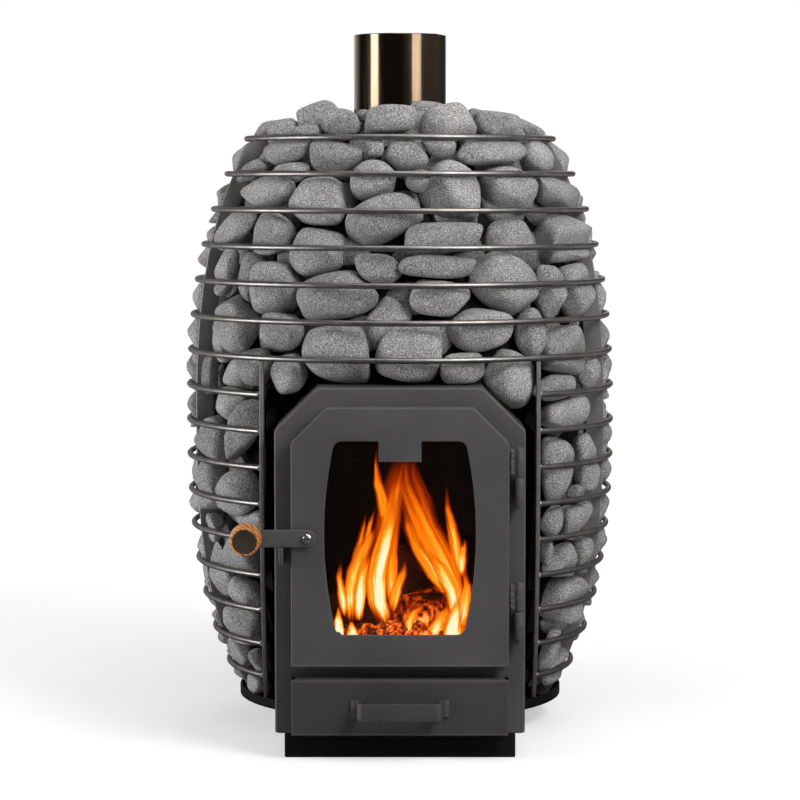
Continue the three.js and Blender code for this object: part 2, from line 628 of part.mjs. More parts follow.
// Rows of places on the heap's outside, from its bottom up and over the dome
function heapRows() {
  const heights = curveHeights(HEAP_BOTTOM, TOP_RING_HEIGHT, HEAP_ROWS);
  const side = heights.map((height) => [heapRadius(height), height]);
  const rim = heapRadius(TOP_RING_HEIGHT);
  for (let row = 1; row <= DOME_ROWS; row += 1) {
    const share = 1 - row / (DOME_ROWS + 1);
    side.push([rim * share, TOP_RING_HEIGHT + HEAP_RISE * Math.sqrt(1 - share ** 2)]);
  }
  return side;
}

// The whole heap: a core whose skin is pushed out as far as the stones reach
function stoneHeap() {
  const seen = [...UPPER_STONES, ...MIDDLE_STONES, ...SIDE_STONES].map(seenStone);
  const stones = [...CROWN_STONES.map(crownStone), ...seen, ...courseStones(), ...domeStones()];
  const rows = heapRows();
  const ends = [[0, HEAP_BOTTOM], ...rows, [0, TOP_RING_HEIGHT + HEAP_RISE - HEAP_CORE_DEPTH]];
  const points = ends.map(([radius, height]) => new THREE.Vector2(radius, height));
  const geometry = new THREE.LatheGeometry(points, HEAP_SIDES).rotateX(RIGHT_ANGLE);
  const position = geometry.attributes.position;
  const place = new THREE.Vector3();
  for (let index = 0; index < position.count; index += 1) {
    const row = (index % ends.length) - 1;
    if (row >= 0 && row < rows.length) {
      place.fromBufferAttribute(position, index);
      const direction = outOfHeap(place);
      direction.setZ(Math.max(direction.z, 0)).normalize();
      const most = row <= HEAP_ROWS ? HEAP_CORE_DEPTH : HEAP_CORE_DEPTH + HEAP_HEADROOM;
      place.addScaledVector(direction, -HEAP_CORE_DEPTH);
      const reach = stones.reduce((far, stone) => Math.max(far, stoneReach(stone, place, direction)), 0);
      place.addScaledVector(direction, Math.min(reach, most));
      position.setXYZ(index, place.x, place.y, Math.max(place.z, HEAP_BOTTOM));
    }
  }
  return geometry;
}

// The largest body of a geometry, without crumbs cut loose from it
function mainBody(geometry) {
  const bodies = toSolid(geometry).decompose();
  return toGeometry(bodies.reduce((most, body) => (body.volume() > most.volume() ? body : most)));
}

// The space that the firebox body takes out of the heap
function bodySpace() {
  const outline = arch(HALF_BODY + STONE_GAP, 0, BODY_TOP + SEAT_GAP, BODY_CHAMFER);
  return facing(outline, BODY_FRONT - STONE_GAP, BODY_BACK - BODY_FRONT + 2 * STONE_GAP);
}

// The space in front of the stones beside the door, back to the rear edge of the opening bars
function doorwaySpace() {
  const heights = curveHeights(BODY_BOTTOM, BODY_TOP);
  const back = heights.map((height) => [barFront(height) + BAR_DEPTH + STONE_GAP, height]);
  const outline = polygon([...back, [-2 * CAGE_RADIUS, BODY_TOP], [-2 * CAGE_RADIUS, BODY_BOTTOM]]);
  const half = BAR_OUTER + STONE_GAP;
  return standing(outline, -half, 2 * half);
}

// Ribs and bars with room around them, open to the outside of the heap
function cageSpaces() {
  const open = 2 * ROD_DIAMETER;
  const ribs = RIB_ANGLES.map((angle) => cageRib(angle, STONE_GAP, open));
  return [...ribs, openingBar(BAR_INNER, STONE_GAP, open), openingBar(-BAR_OUTER, STONE_GAP, open)];
}

// Stones beside and behind the firebox, on one side of the middle
function sideStones(side) {
  const wide = 2 * CAGE_RADIUS;
  const inner = STONE_GAP / 2;
  const low = Math.min(inner * side, wide * side);
  const high = Math.max(inner * side, wide * side);
  const half = block([low, -wide, 0], [high, wide, BODY_TOP]);
  return mainBody(cut(common(HEAP, half), bodySpace(), doorwaySpace(), ...cageSpaces()));
}

// Stones on the roof, around the flue
function topStones() {
  const wide = 2 * CAGE_RADIUS;
  const upper = block([-wide, -wide, BODY_TOP + SEAT_GAP], [wide, wide, 2 * FLUE_TOP]);
  const flue = upright(FLUE_RADIUS + STONE_GAP, 0, 2 * FLUE_TOP, FLUE_SIDES);
  const collarRadius = FLUE_RADIUS + SEAT_GAP + FLUE_COLLAR_WALL + STONE_GAP;
  const collar = upright(collarRadius, 0, BODY_TOP + FLUE_COLLAR_HEIGHT + STONE_GAP, FLUE_SIDES);
  return mainBody(cut(common(HEAP, upper), flue, collar, ...cageSpaces()));
}

function plinth() {
  const half = HALF_BODY - PLINTH_SIDE_INSET;
  const inside = half - PLINTH_PLATE;
  const back = BODY_BACK - PLINTH_SIDE_INSET;
  const shell = block([-half, BODY_FRONT, 0], [half, back, PLINTH_HEIGHT]);
  const hollow = block([-inside, BODY_FRONT + PLINTH_PLATE, PLINTH_PLATE],
    [inside, back - PLINTH_PLATE, 2 * PLINTH_HEIGHT]);
  const slot = block([-inside / 2, 0, PLINTH_HEIGHT - PLINTH_SLOT_HEIGHT],
    [inside / 2, 2 * back, 2 * PLINTH_HEIGHT]);
  return cut(shell, hollow, slot);
}

function fireboxShell() {
  const outline = arch(HALF_BODY, BODY_BOTTOM, BODY_TOP, BODY_CHAMFER);
  outline.holes.push(arch(ROOM_HALF, ROOM_FLOOR, ROOM_TOP, ROOM_CHAMFER));
  const tunnel = facing(outline, ROOM_FRONT, ROOM_BACK - ROOM_FRONT);
  const flueHole = upright(FLUE_RADIUS - FLUE_WALL, ROOM_TOP - BODY_PLATE, BODY_TOP + BODY_PLATE, FLUE_SIDES);
  return cut(tunnel, flueHole);
}

function frontFrame() {
  const outline = arch(HALF_BODY, BODY_BOTTOM, BODY_TOP, BODY_CHAMFER);
  const mouthChamfer = innerChamfer(DOOR_CHAMFER, DOOR_OVERLAP);
  outline.holes.push(arch(MOUTH_HALF, MOUTH_BOTTOM, MOUTH_TOP, mouthChamfer));
  const panHalf = PAN_HALF + PAN_SIDE_GAP;
  const panTop = PAN_TOP + PAN_TOP_GAP;
  outline.holes.push(rectangle(panHalf, ROOM_FLOOR, panTop));
  const collar = arch(MOUTH_HALF + COLLAR_PLATE, MOUTH_BOTTOM - COLLAR_PLATE, MOUTH_TOP + COLLAR_PLATE,
    innerChamfer(mouthChamfer, -COLLAR_PLATE));
  collar.holes.push(arch(MOUTH_HALF, MOUTH_BOTTOM, MOUTH_TOP, mouthChamfer));
  return join(facing(outline, BODY_FRONT, BODY_PLATE), facing(collar, BODY_FRONT - COLLAR_REACH, COLLAR_REACH));
}

function rearPlate() {
  return facing(arch(HALF_BODY, BODY_BOTTOM, BODY_TOP, BODY_CHAMFER), BODY_BACK - BODY_PLATE, BODY_PLATE);
}

function hearthPlate() {
  const outline = rectangle(ROOM_HALF - SEAT_GAP, ROOM_FRONT, ROOM_BACK);
  const reach = GRATE_LENGTH / 2 - GRATE_REST;
  outline.holes.push(rectangle(GRATE_WIDTH / 2 - GRATE_REST, HEARTH_MIDDLE - reach, HEARTH_MIDDLE + reach));
  return lying(outline, HEARTH_BOTTOM, HEARTH_PLATE);
}

function grate() {
  const halfLength = GRATE_LENGTH / 2;
  const bottom = HEARTH_TOP + SEAT_GAP;
  const slotHalf = halfLength - 2 * GRATE_REST;
  const spacing = (GRATE_WIDTH - 2 * GRATE_REST) / GRATE_SLOTS;
  const slots = Array.from({ length: GRATE_SLOTS }, (_, slot) => {
    const left = (slot - (GRATE_SLOTS - 1) / 2) * spacing - GRATE_SLOT_WIDTH / 2;
    return block([left, HEARTH_MIDDLE - slotHalf, bottom - GRATE_THICKNESS],
      [left + GRATE_SLOT_WIDTH, HEARTH_MIDDLE + slotHalf, bottom + 2 * GRATE_THICKNESS]);
  });
  const plate = rectangle(GRATE_WIDTH / 2, HEARTH_MIDDLE - halfLength, HEARTH_MIDDLE + halfLength);
  return cut(lying(plate, bottom, GRATE_THICKNESS), ...slots);
}

function smokeBaffle() {
  const top = ROOM_TOP - ROOM_CHAMFER;
  const outline = rectangle(ROOM_HALF - SEAT_GAP, ROOM_FRONT + BAFFLE_GAP, ROOM_BACK);
  return lying(outline, top - BAFFLE_PLATE, BAFFLE_PLATE);
}

function flueCollar() {
  const inner = FLUE_RADIUS + SEAT_GAP;
  return sleeve(inner, inner + FLUE_COLLAR_WALL, BODY_TOP + SEAT_GAP, BODY_TOP + FLUE_COLLAR_HEIGHT);
}

function fluePipe() {
  return sleeve(FLUE_RADIUS - FLUE_WALL, FLUE_RADIUS, BODY_TOP + SEAT_GAP, FLUE_TOP);
}

// Half width of the bowed window at a height
function windowHalf(height) {
  const share = (height - WINDOW_BOTTOM) / WINDOW_HEIGHT;
  const straight = WINDOW_BOTTOM_HALF + (WINDOW_TOP_HALF - WINDOW_BOTTOM_HALF) * share;
  return straight + 4 * WINDOW_BOW * share * (1 - share);
}

// Window outline with rounded corners and a square tab hanging from its upper edge
function windowOutline() {
  const upper = WINDOW_TOP - WINDOW_CORNER;
  const lower = WINDOW_BOTTOM + WINDOW_CORNER;
  const side = curveHeights(lower, upper, CURVE_STEPS);
  const outline = new THREE.Path();
  outline.moveTo(WINDOW_CORNER - WINDOW_BOTTOM_HALF, WINDOW_BOTTOM);
  outline.lineTo(WINDOW_BOTTOM_HALF - WINDOW_CORNER, WINDOW_BOTTOM);
  outline.quadraticCurveTo(WINDOW_BOTTOM_HALF, WINDOW_BOTTOM, windowHalf(lower), lower);
  side.slice(1).forEach((height) => outline.lineTo(windowHalf(height), height));
  outline.quadraticCurveTo(WINDOW_TOP_HALF, WINDOW_TOP, WINDOW_TOP_HALF - WINDOW_CORNER, WINDOW_TOP);
  outline.lineTo(TAB_WIDTH / 2, WINDOW_TOP);
  outline.lineTo(TAB_WIDTH / 2, WINDOW_TOP - TAB_DROP);
  outline.lineTo(-TAB_WIDTH / 2, WINDOW_TOP - TAB_DROP);
  outline.lineTo(-TAB_WIDTH / 2, WINDOW_TOP);
  outline.lineTo(WINDOW_CORNER - WINDOW_TOP_HALF, WINDOW_TOP);
  outline.quadraticCurveTo(-WINDOW_TOP_HALF, WINDOW_TOP, -windowHalf(upper), upper);
  side.reverse().slice(1).forEach((height) => outline.lineTo(-windowHalf(height), height));
  outline.quadraticCurveTo(-WINDOW_BOTTOM_HALF, WINDOW_BOTTOM,
    WINDOW_CORNER - WINDOW_BOTTOM_HALF, WINDOW_BOTTOM);
  return outline;
}

// Outline of the door, set in by an even margin
function doorOutline(margin) {
  return arch(HALF_DOOR - margin, DOOR_BOTTOM + margin, DOOR_TOP - margin, innerChamfer(DOOR_CHAMFER, margin));
}

// A folded sheet pan with its face to the front
function doorPanel() {
  const outline = doorOutline(0);
  outline.holes.push(windowOutline());
  const face = facing(outline, DOOR_FRONT, DOOR_SHEET);
  const edge = doorOutline(0);
  edge.holes.push(doorOutline(DOOR_SHEET));
  const pan = join(face, facing(edge, DOOR_INSIDE, DOOR_DEPTH - DOOR_SHEET));
  const bore = level(SHANK_BORE, DOOR_FRONT - DOOR_SHEET,
    DOOR_INSIDE + DOOR_SHEET, TURNED_SIDES);
  return cut(pan, bore.translate(LEVER_X, 0, LEVER_Z));
}

// Outline of the glass, set in by an even margin, its cut corners along those of the sealing rope
function glassOutline(margin) {
  const ropeCorner = HALF_DOOR + DOOR_TOP - DOOR_CHAMFER - Math.SQRT2 * (ROPE_INNER_MARGIN + GLASS_CORNER_GAP);
  const chamfer = GLASS_HALF + GLASS_TOP - ropeCorner;
  return arch(GLASS_HALF - margin, GLASS_BOTTOM + margin, GLASS_TOP - margin, innerChamfer(chamfer, margin));
}

function doorGlass() {
  return facing(glassOutline(0), GLASS_FRONT, GLASS_THICKNESS);
}

function glassGasket() {
  const outline = glassOutline(0);
  outline.holes.push(glassOutline(GASKET_WIDTH));
  return facing(outline, DOOR_INSIDE + SEAT_GAP, GASKET_THICKNESS);
}

// A stepped strip that holds one edge of the glass against the door face
function glassClip(side) {
  const foot = DOOR_INSIDE + SEAT_GAP;
  const hold = GLASS_FRONT + GLASS_THICKNESS + SEAT_GAP;
  const section = [[CLIP_WALL, foot], [CLIP_WALL + CLIP_SHEET + CLIP_FOOT, foot],
    [CLIP_WALL + CLIP_SHEET + CLIP_FOOT, foot + CLIP_SHEET], [CLIP_WALL + CLIP_SHEET, foot + CLIP_SHEET],
    [CLIP_WALL + CLIP_SHEET, hold + CLIP_SHEET], [CLIP_WALL - CLIP_HOLD, hold + CLIP_SHEET],
    [CLIP_WALL - CLIP_HOLD, hold], [CLIP_WALL, hold]];
  const points = section.map(([x, y]) => [side * x, y]);
  return lying(polygon(points), WINDOW_BOTTOM + CLIP_END_INSET, WINDOW_HEIGHT - 2 * CLIP_END_INSET);
}

// The sealing rope that the frame collar presses on
function doorRope() {
  const outline = doorOutline(ROPE_OUTER_MARGIN);
  outline.holes.push(doorOutline(ROPE_INNER_MARGIN));
  const front = DOOR_INSIDE + SEAT_GAP;
  const back = BODY_FRONT - COLLAR_REACH - SEAT_GAP;
  return facing(outline, front, back - front);
}

// The upper knuckle, on a leaf at the edge of the door
function doorKnuckle(split) {
  const bottom = split + SEAT_GAP;
  const top = bottom + KNUCKLE_LENGTH;
  const barrel = upright(KNUCKLE_DIAMETER / 2, bottom, top, TURNED_SIDES).translate(HINGE_X, HINGE_Y, 0);
  const leaf = block([HALF_DOOR + SEAT_GAP, HINGE_Y - HINGE_LEAF / 2, bottom],
    [HINGE_X, HINGE_Y + HINGE_LEAF / 2, top]);
  const bore = upright(PIN_BORE, bottom - PIN_COVER, top - PIN_COVER, TURNED_SIDES);
  return cut(join(barrel, leaf), bore.translate(HINGE_X, HINGE_Y, 0));
}

// The lower knuckle, on a block at the face of the frame
function frameKnuckle(split) {
  const bottom = split - KNUCKLE_LENGTH;
  const barrel = upright(KNUCKLE_DIAMETER / 2, bottom, split, TURNED_SIDES).translate(HINGE_X, HINGE_Y, 0);
  const foot = block([HINGE_X - HINGE_LEAF / 2, HINGE_Y, bottom],
    [HINGE_X + HINGE_LEAF / 2, BODY_FRONT - SEAT_GAP, split]);
  const bore = upright(PIN_BORE, bottom - PIN_COVER, split + PIN_COVER, TURNED_SIDES);
  return cut(join(barrel, foot), bore.translate(HINGE_X, HINGE_Y, 0));
}

function hingePin(split) {
  const top = split + KNUCKLE_LENGTH - PIN_COVER - RUN_GAP;
  return upright(PIN_DIAMETER / 2, split - KNUCKLE_LENGTH, top, TURNED_SIDES).translate(HINGE_X, HINGE_Y, 0);
}

// A flat bar with round ends from the pivot to the knob
function latchLever() {
  const radius = LEVER_WIDTH / 2;
  const outline = new THREE.Shape();
  outline.absarc(LEVER_X, LEVER_Z, radius, -RIGHT_ANGLE, RIGHT_ANGLE);
  outline.absarc(LEVER_X - LEVER_LENGTH, LEVER_Z, radius, RIGHT_ANGLE, 3 * RIGHT_ANGLE);
  const bore = level(SHANK_BORE, LEVER_FRONT - LEVER_THICKNESS,
    LEVER_BACK + LEVER_THICKNESS, TURNED_SIDES);
  return cut(facing(outline, LEVER_FRONT, LEVER_THICKNESS), bore.translate(LEVER_X, 0, LEVER_Z));
}

function latchScrew() {
  const headBack = LEVER_FRONT - SEAT_GAP;
  const head = level(SCREW_HEAD_DIAMETER / 2, headBack - SCREW_HEAD_HEIGHT, headBack, TURNED_SIDES);
  const shank = level(SCREW_SHANK_DIAMETER / 2, headBack - SCREW_HEAD_HEIGHT / 2, DOOR_INSIDE, TURNED_SIDES);
  return join(head, shank).translate(LEVER_X, 0, LEVER_Z);
}

// A turned knob with a round recess in its face
function latchKnob() {
  const recess = KNOB_DISC_DIAMETER / 2 + SEAT_GAP;
  const profile = [[0, KNOB_DISC_DEPTH - KNOB_LENGTH], [recess, KNOB_DISC_DEPTH - KNOB_LENGTH],
    [recess, -KNOB_LENGTH], [(recess + KNOB_DIAMETER / 2) / 2, -KNOB_LENGTH],
    [KNOB_DIAMETER / 2, -0.8 * KNOB_LENGTH], [KNOB_DIAMETER / 2, -0.5 * KNOB_LENGTH],
    [KNOB_NECK_DIAMETER / 2, -0.1 * KNOB_LENGTH], [KNOB_NECK_DIAMETER / 2, 0], [0, 0]];
  const points = profile.map(([radius, along]) => new THREE.Vector2(radius, along));
  const geometry = new THREE.LatheGeometry(points, TURNED_SIDES);
  return geometry.translate(LEVER_X - LEVER_LENGTH, LEVER_FRONT - SEAT_GAP, LEVER_Z);
}

function knobDisc() {
  const floor = LEVER_FRONT - 2 * SEAT_GAP - KNOB_LENGTH + KNOB_DISC_DEPTH;
  const face = floor - KNOB_DISC_DEPTH + SEAT_GAP;
  return level(KNOB_DISC_DIAMETER / 2, face, floor, TURNED_SIDES).translate(LEVER_X - LEVER_LENGTH, 0, LEVER_Z);
}

// An upright plate on the frame that the lever comes to rest on
function latchKeeper() {
  const top = LEVER_Z - LEVER_WIDTH / 2 - RUN_GAP;
  const left = -HALF_DOOR - KEEPER_OFFSET - KEEPER_THICKNESS;
  return block([left, LEVER_FRONT - KEEPER_NOSE, top - KEEPER_HEIGHT],
    [left + KEEPER_THICKNESS, BODY_FRONT - SEAT_GAP, top]);
}

function ashPan() {
  const front = DRAWER_FRONT + DOOR_SHEET + SEAT_GAP;
  const back = ROOM_BACK - PAN_REAR_GAP;
  const hollow = block([PAN_SHEET - PAN_HALF, front + PAN_SHEET, PAN_BOTTOM + PAN_SHEET],
    [PAN_HALF - PAN_SHEET, back - PAN_SHEET, PAN_TOP + PAN_SHEET]);
  return cut(block([-PAN_HALF, front, PAN_BOTTOM], [PAN_HALF, back, PAN_TOP]), hollow);
}

function drawerFront() {
  const half = HALF_DOOR - DOOR_SHEET;
  const hollow = block([-half, DRAWER_FRONT + DOOR_SHEET, DRAWER_BOTTOM + DOOR_SHEET - RUN_GAP],
    [half, DRAWER_BACK + DOOR_SHEET, DRAWER_TOP - DOOR_SHEET]);
  const under = block([-PAN_HALF - RUN_GAP, DRAWER_FRONT + DOOR_SHEET, DRAWER_BOTTOM - DOOR_SHEET],
    [PAN_HALF + RUN_GAP, DRAWER_BACK + DOOR_SHEET, DRAWER_TOP - DOOR_SHEET]);
  const slab = block([-HALF_DOOR, DRAWER_FRONT, DRAWER_BOTTOM], [HALF_DOOR, DRAWER_BACK, DRAWER_TOP]);
  return cut(slab, hollow, under);
}

// A flat strip bent into a bail with two feet
function drawerHandle() {
  const seat = DRAWER_FRONT - SEAT_GAP;
  const front = seat - HANDLE_STANDOFF;
  const half = HANDLE_LENGTH / 2;
  const foot = half + HANDLE_FOOT;
  const inner = half - HANDLE_STRIP;
  const footFront = seat - HANDLE_STRIP;
  const outline = polygon([[-foot, seat], [-foot, footFront], [-half, footFront], [-half, front], [half, front],
    [half, footFront], [foot, footFront], [foot, seat], [inner, seat], [inner, front + HANDLE_STRIP],
    [-inner, front + HANDLE_STRIP], [-inner, seat]]);
  return lying(outline, DRAWER_TOP - HANDLE_DROP - HANDLE_WIDTH / 2 + SEAT_GAP, HANDLE_WIDTH);
}

// A split log lying on its flat side along X
function splitLog() {
  const half = LOG_WIDTH / 2;
  const outline = polygon([[-half, 0], [half, 0], [0.95 * half, 0.4 * LOG_HEIGHT],
    [0.55 * half, 0.85 * LOG_HEIGHT], [-0.1 * half, LOG_HEIGHT], [-0.7 * half, 0.75 * LOG_HEIGHT]]);
  return standing(outline, -LOG_LENGTH / 2, LOG_LENGTH);
}

function lowerLog(side) {
  return splitLog().translate(0, HEARTH_MIDDLE + (side * LOG_SPACING) / 2, GRATE_TOP + SEAT_GAP);
}

function upperLog() {
  const turned = splitLog().rotateZ(THREE.MathUtils.degToRad(TOP_LOG_ANGLE));
  return turned.translate(TOP_LOG_SHIFT, HEARTH_MIDDLE, GRATE_TOP + LOG_HEIGHT + 2 * SEAT_GAP);
}

const heater = new THREE.Group();
heater.name = 'sauna_heater';

function add(name, geometry, finish) {
  const mesh = new THREE.Mesh(geometry, new THREE.MeshStandardMaterial(finish));
  mesh.name = name;
  heater.add(mesh);
}

function twoDigits(number) {
  return String(number).padStart(2, '0');
}

// Cage and stones
for (let ring = 1; ring <= RING_COUNT; ring += 1) {
  add(`cage_ring_${twoDigits(ring)}`, cageRing(ring), ROD_STEEL);
}
RIB_ANGLES.forEach((angle, index) => add(`cage_rib_${RIB_NAMES[index]}`, cageRib(angle), RIB_STEEL));
add('opening_bar_left', openingBar(-BAR_OUTER), RIB_STEEL);
add('opening_bar_right', openingBar(BAR_INNER), RIB_STEEL);
add('stone_tray', stoneTray(), DARK_STEEL);
const HEAP = stoneHeap();
add('stones_left', sideStones(-1), STONE);
add('stones_right', sideStones(1), STONE);
add('stones_top', topStones(), STONE);

// Firebox
add('plinth', plinth(), DARK_STEEL);
add('firebox_shell', fireboxShell(), BLACK_STEEL);
add('front_frame', frontFrame(), BLACK_STEEL);
add('rear_plate', rearPlate(), BLACK_STEEL);
add('hearth_plate', hearthPlate(), DARK_STEEL);
add('grate', grate(), CAST_IRON);
add('smoke_baffle', smokeBaffle(), DARK_STEEL);
add('flue_collar', flueCollar(), DARK_STEEL);
add('flue_pipe', fluePipe(), FLUE_STEEL);
add('log_front', lowerLog(-1), CHARRED_WOOD);
add('log_rear', lowerLog(1), CHARRED_WOOD);
add('log_top', upperLog(), CHARRED_WOOD);

// Door
add('door_panel', doorPanel(), BLACK_STEEL);
add('door_glass', doorGlass(), GLASS);
add('glass_gasket', glassGasket(), ROPE);
add('glass_clip_left', glassClip(-1), DARK_STEEL);
add('glass_clip_right', glassClip(1), DARK_STEEL);
add('door_rope_seal', doorRope(), ROPE);
add('hinge_upper_door_knuckle', doorKnuckle(UPPER_HINGE_SPLIT), BLACK_STEEL);
add('hinge_lower_door_knuckle', doorKnuckle(LOWER_HINGE_SPLIT), BLACK_STEEL);
add('hinge_upper_frame_knuckle', frameKnuckle(UPPER_HINGE_SPLIT), BLACK_STEEL);
add('hinge_lower_frame_knuckle', frameKnuckle(LOWER_HINGE_SPLIT), BLACK_STEEL);
add('hinge_upper_pin', hingePin(UPPER_HINGE_SPLIT), BRIGHT_STEEL);
add('hinge_lower_pin', hingePin(LOWER_HINGE_SPLIT), BRIGHT_STEEL);

// Latch
add('latch_lever', latchLever(), BLACK_STEEL);
add('latch_pivot_screw', latchScrew(), BRIGHT_STEEL);
add('latch_knob', latchKnob(), KNOB_WOOD);
add('knob_disc', knobDisc(), DISC_BRONZE);
add('latch_keeper', latchKeeper(), BLACK_STEEL);

// Ash drawer
add('ash_pan', ashPan(), DARK_STEEL);
add('drawer_front', drawerFront(), BLACK_STEEL);
add('drawer_handle', drawerHandle(), BLACK_STEEL);

export default heater;
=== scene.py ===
import functools
import math

import bmesh
import bpy
import numpy as np
from mathutils import Matrix, Vector


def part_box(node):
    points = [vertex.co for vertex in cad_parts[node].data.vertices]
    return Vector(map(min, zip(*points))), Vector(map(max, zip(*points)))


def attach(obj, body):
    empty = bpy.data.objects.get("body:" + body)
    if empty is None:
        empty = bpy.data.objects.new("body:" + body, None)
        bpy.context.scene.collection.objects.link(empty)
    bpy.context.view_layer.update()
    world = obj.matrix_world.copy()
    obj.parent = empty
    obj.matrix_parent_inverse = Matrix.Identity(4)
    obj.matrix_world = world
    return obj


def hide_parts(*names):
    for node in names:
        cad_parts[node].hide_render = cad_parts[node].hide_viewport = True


# Wood-fired sauna heater, in metres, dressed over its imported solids

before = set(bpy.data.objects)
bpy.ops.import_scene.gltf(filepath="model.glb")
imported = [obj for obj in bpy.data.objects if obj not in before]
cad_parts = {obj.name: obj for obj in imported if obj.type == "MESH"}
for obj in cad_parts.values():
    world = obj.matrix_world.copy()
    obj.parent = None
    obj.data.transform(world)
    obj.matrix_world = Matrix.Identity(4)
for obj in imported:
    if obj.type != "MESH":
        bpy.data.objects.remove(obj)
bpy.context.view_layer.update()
random = np.random.default_rng(7)
box = functools.lru_cache(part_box)

# Photograph's camera
CAMERA_PLACE = Vector((0.0, -3.531, 0.677))
CAMERA_DIP = math.radians(4.53)
CAMERA_LENS = 126.7
SENSOR_WIDTH = 36.0
PICTURE_SIZE = 800
PICTURE_MIDDLE = (400.5, 400.0)
FOCAL_PIXELS = CAMERA_LENS / SENSOR_WIDTH * PICTURE_SIZE

# Cage of rods around the stones
ROD_RADIUS = 0.0035
RING_NAMES = [f"cage_ring_{number:02d}" for number in range(1, 17)]
FULL_RINGS = 7
BELLY_RADIUS = 0.264
BELLY_HEIGHT = 0.3763
POLE_HEIGHT = 0.4405
CAGE_FULLNESS = 2.5
HEAP_RISE = 0.043
SEAT_GAP = 0.0003

# Stone sizes
STONE_INSET = 0.0045
STONE_BULGE = 0.015
BAR_SHELTER = -0.08
LEAST_FACING = 0.45
DEPTH_SHARE = 0.8
STONE_STAND = 0.005
RIB_ANGLES = [math.radians(angle) for angle in (75, 150, -150, -75)]
RIB_CLEARANCE = 0.0035
INNER_LAYER = 0.030
SHADE_SHEET_DEPTH = 0.036
SMALLEST_HALF_DEPTH = 0.011
SEEN_FIT = 1.10
FACET_TILT = 0.2
STONE_GAP = 0.0008
DEEPEST_CUT = 0.45
SMALL_HALF_WIDTH = 0.028
HALF_WIDTH_SPREAD = 0.018
SMALL_HALF_HEIGHT = 0.023
HALF_HEIGHT_SPREAD = 0.008
LEAN_SPREAD = 60
COURSES = 13
COURSE_JITTER = 0.45
SEEN_FRONT = math.radians(74)
DOME_RINGS = [(0.160, math.radians(62)), (0.102, 0.0)]
FILL_RINGS = [(0.146, 0.2), (0.104, 0.5)]
FILL_DROP = 0.021
LARGEST_HALF_DEPTH = 0.027

# Sheet metal
PAINT_EDGE = 0.0016
SHEET = 0.004
THIN_EDGE = 0.0008
SMOOTH_ANGLE = math.radians(38)
BODY_CHAMFER = 0.050


# Geometry as a pair of points and faces

def merged(*shapes):
    points = []
    faces = []
    for shape_points, shape_faces in shapes:
        start = len(points)
        points.extend(shape_points)
        faces.extend([tuple(start + index for index in face) for face in shape_faces])
    return points, faces


def moved(shape, matrix):
    points, faces = shape
    return [matrix @ Vector(point) for point in points], faces


def shifted(shape, offset):
    return moved(shape, Matrix.Translation(offset))


# A flat sheet in X and Y with rounded edges, from 0 to its depth in Z; later outlines are holes
def plate(outlines, depth, edge, steps=3):
    curve = bpy.data.curves.new("outline", "CURVE")
    curve.dimensions = "2D"
    curve.fill_mode = "BOTH"
    curve.extrude = depth / 2 - edge
    curve.bevel_depth = edge
    curve.bevel_resolution = steps
    curve.offset = -edge
    for outline in outlines:
        spline = curve.splines.new("POLY")
        spline.points.add(len(outline) - 1)
        spline.use_cyclic_u = True
        for point, (x, y) in zip(spline.points, outline):
            point.co = (x, y, 0, 1)
    holder = bpy.data.objects.new("outline", curve)
    mesh = bpy.data.meshes.new_from_object(holder)
    points = [vertex.co + Vector((0, 0, depth / 2)) for vertex in mesh.vertices]
    faces = [tuple(polygon.vertices) for polygon in mesh.polygons]
    bpy.data.objects.remove(holder)
    bpy.data.curves.remove(curve)
    bpy.data.meshes.remove(mesh)
    return points, faces


# A sheet whose outline is drawn in X and Z, from a front face towards the back
def facing(outlines, front, depth, edge, steps=3):
    turn = Matrix.Translation((0, front + depth, 0)) @ Matrix.Rotation(math.pi / 2, 4, "X")
    return moved(plate(outlines, depth, edge, steps), turn)


# A sheet whose outline is drawn in X and Y, from its underside up
def lying(outlines, bottom, height, edge, steps=3):
    return shifted(plate(outlines, height, edge, steps), (0, 0, bottom))


# A body turned about Z from radius and height pairs
def lathe(profile, sides=64):
    points = []
    faces = []
    count = len(profile)
    for side in range(sides):
        angle = 2 * math.pi * side / sides
        points.extend([(radius * math.cos(angle), radius * math.sin(angle), height) for radius, height in profile])
    for side in range(sides):
        here = side * count
        there = (side + 1) % sides * count
        faces.extend([(here + step, there + step, there + step + 1, here + step + 1) for step in range(count - 1)])
    return points, faces


# A turned body laid along -Y, its profile's heights towards the front
def lathe_forward(profile, place, sides=48):
    return moved(lathe(profile, sides), Matrix.Translation(place) @ Matrix.Rotation(math.pi / 2, 4, "X"))


# A round rod along a list of points, closed or with domed ends
def rod(path, radius, sides=12, closed=False):
    path = [Vector(point) for point in path]
    points = []
    faces = []
    count = len(path)
    for index, point in enumerate(path):
        after = path[(index + 1) % count] if closed or index < count - 1 else point
        before = path[index - 1] if closed or index > 0 else point
        along = (after - before).normalized()
        side = along.cross(Vector((0, 0, 1)) if abs(along.z) < 0.9 else Vector((0, 1, 0))).normalized()
        lift = side.cross(along)
        for corner in range(sides):
            angle = 2 * math.pi * corner / sides
            points.append(point + radius * (math.cos(angle) * side + math.sin(angle) * lift))
    steps = count if closed else count - 1
    for index in range(steps):
        here = index * sides
        there = (index + 1) % count * sides
        for corner in range(sides):
            other = (corner + 1) % sides
            faces.append((here + corner, here + other, there + other, there + corner))
    if not closed:
        faces.append(tuple(range(sides - 1, -1, -1)))
        faces.append(tuple(range((count - 1) * sides, count * sides)))
    return points, faces


# Unit directions and faces of a round ball
def ball(detail):
    mesh = bmesh.new()
    bmesh.ops.create_icosphere(mesh, subdivisions=detail, radius=1)
    directions = np.array([vertex.co for vertex in mesh.verts])
    faces = [tuple(vertex.index for vertex in face.verts) for face in mesh.faces]
    mesh.free()
    return directions, faces


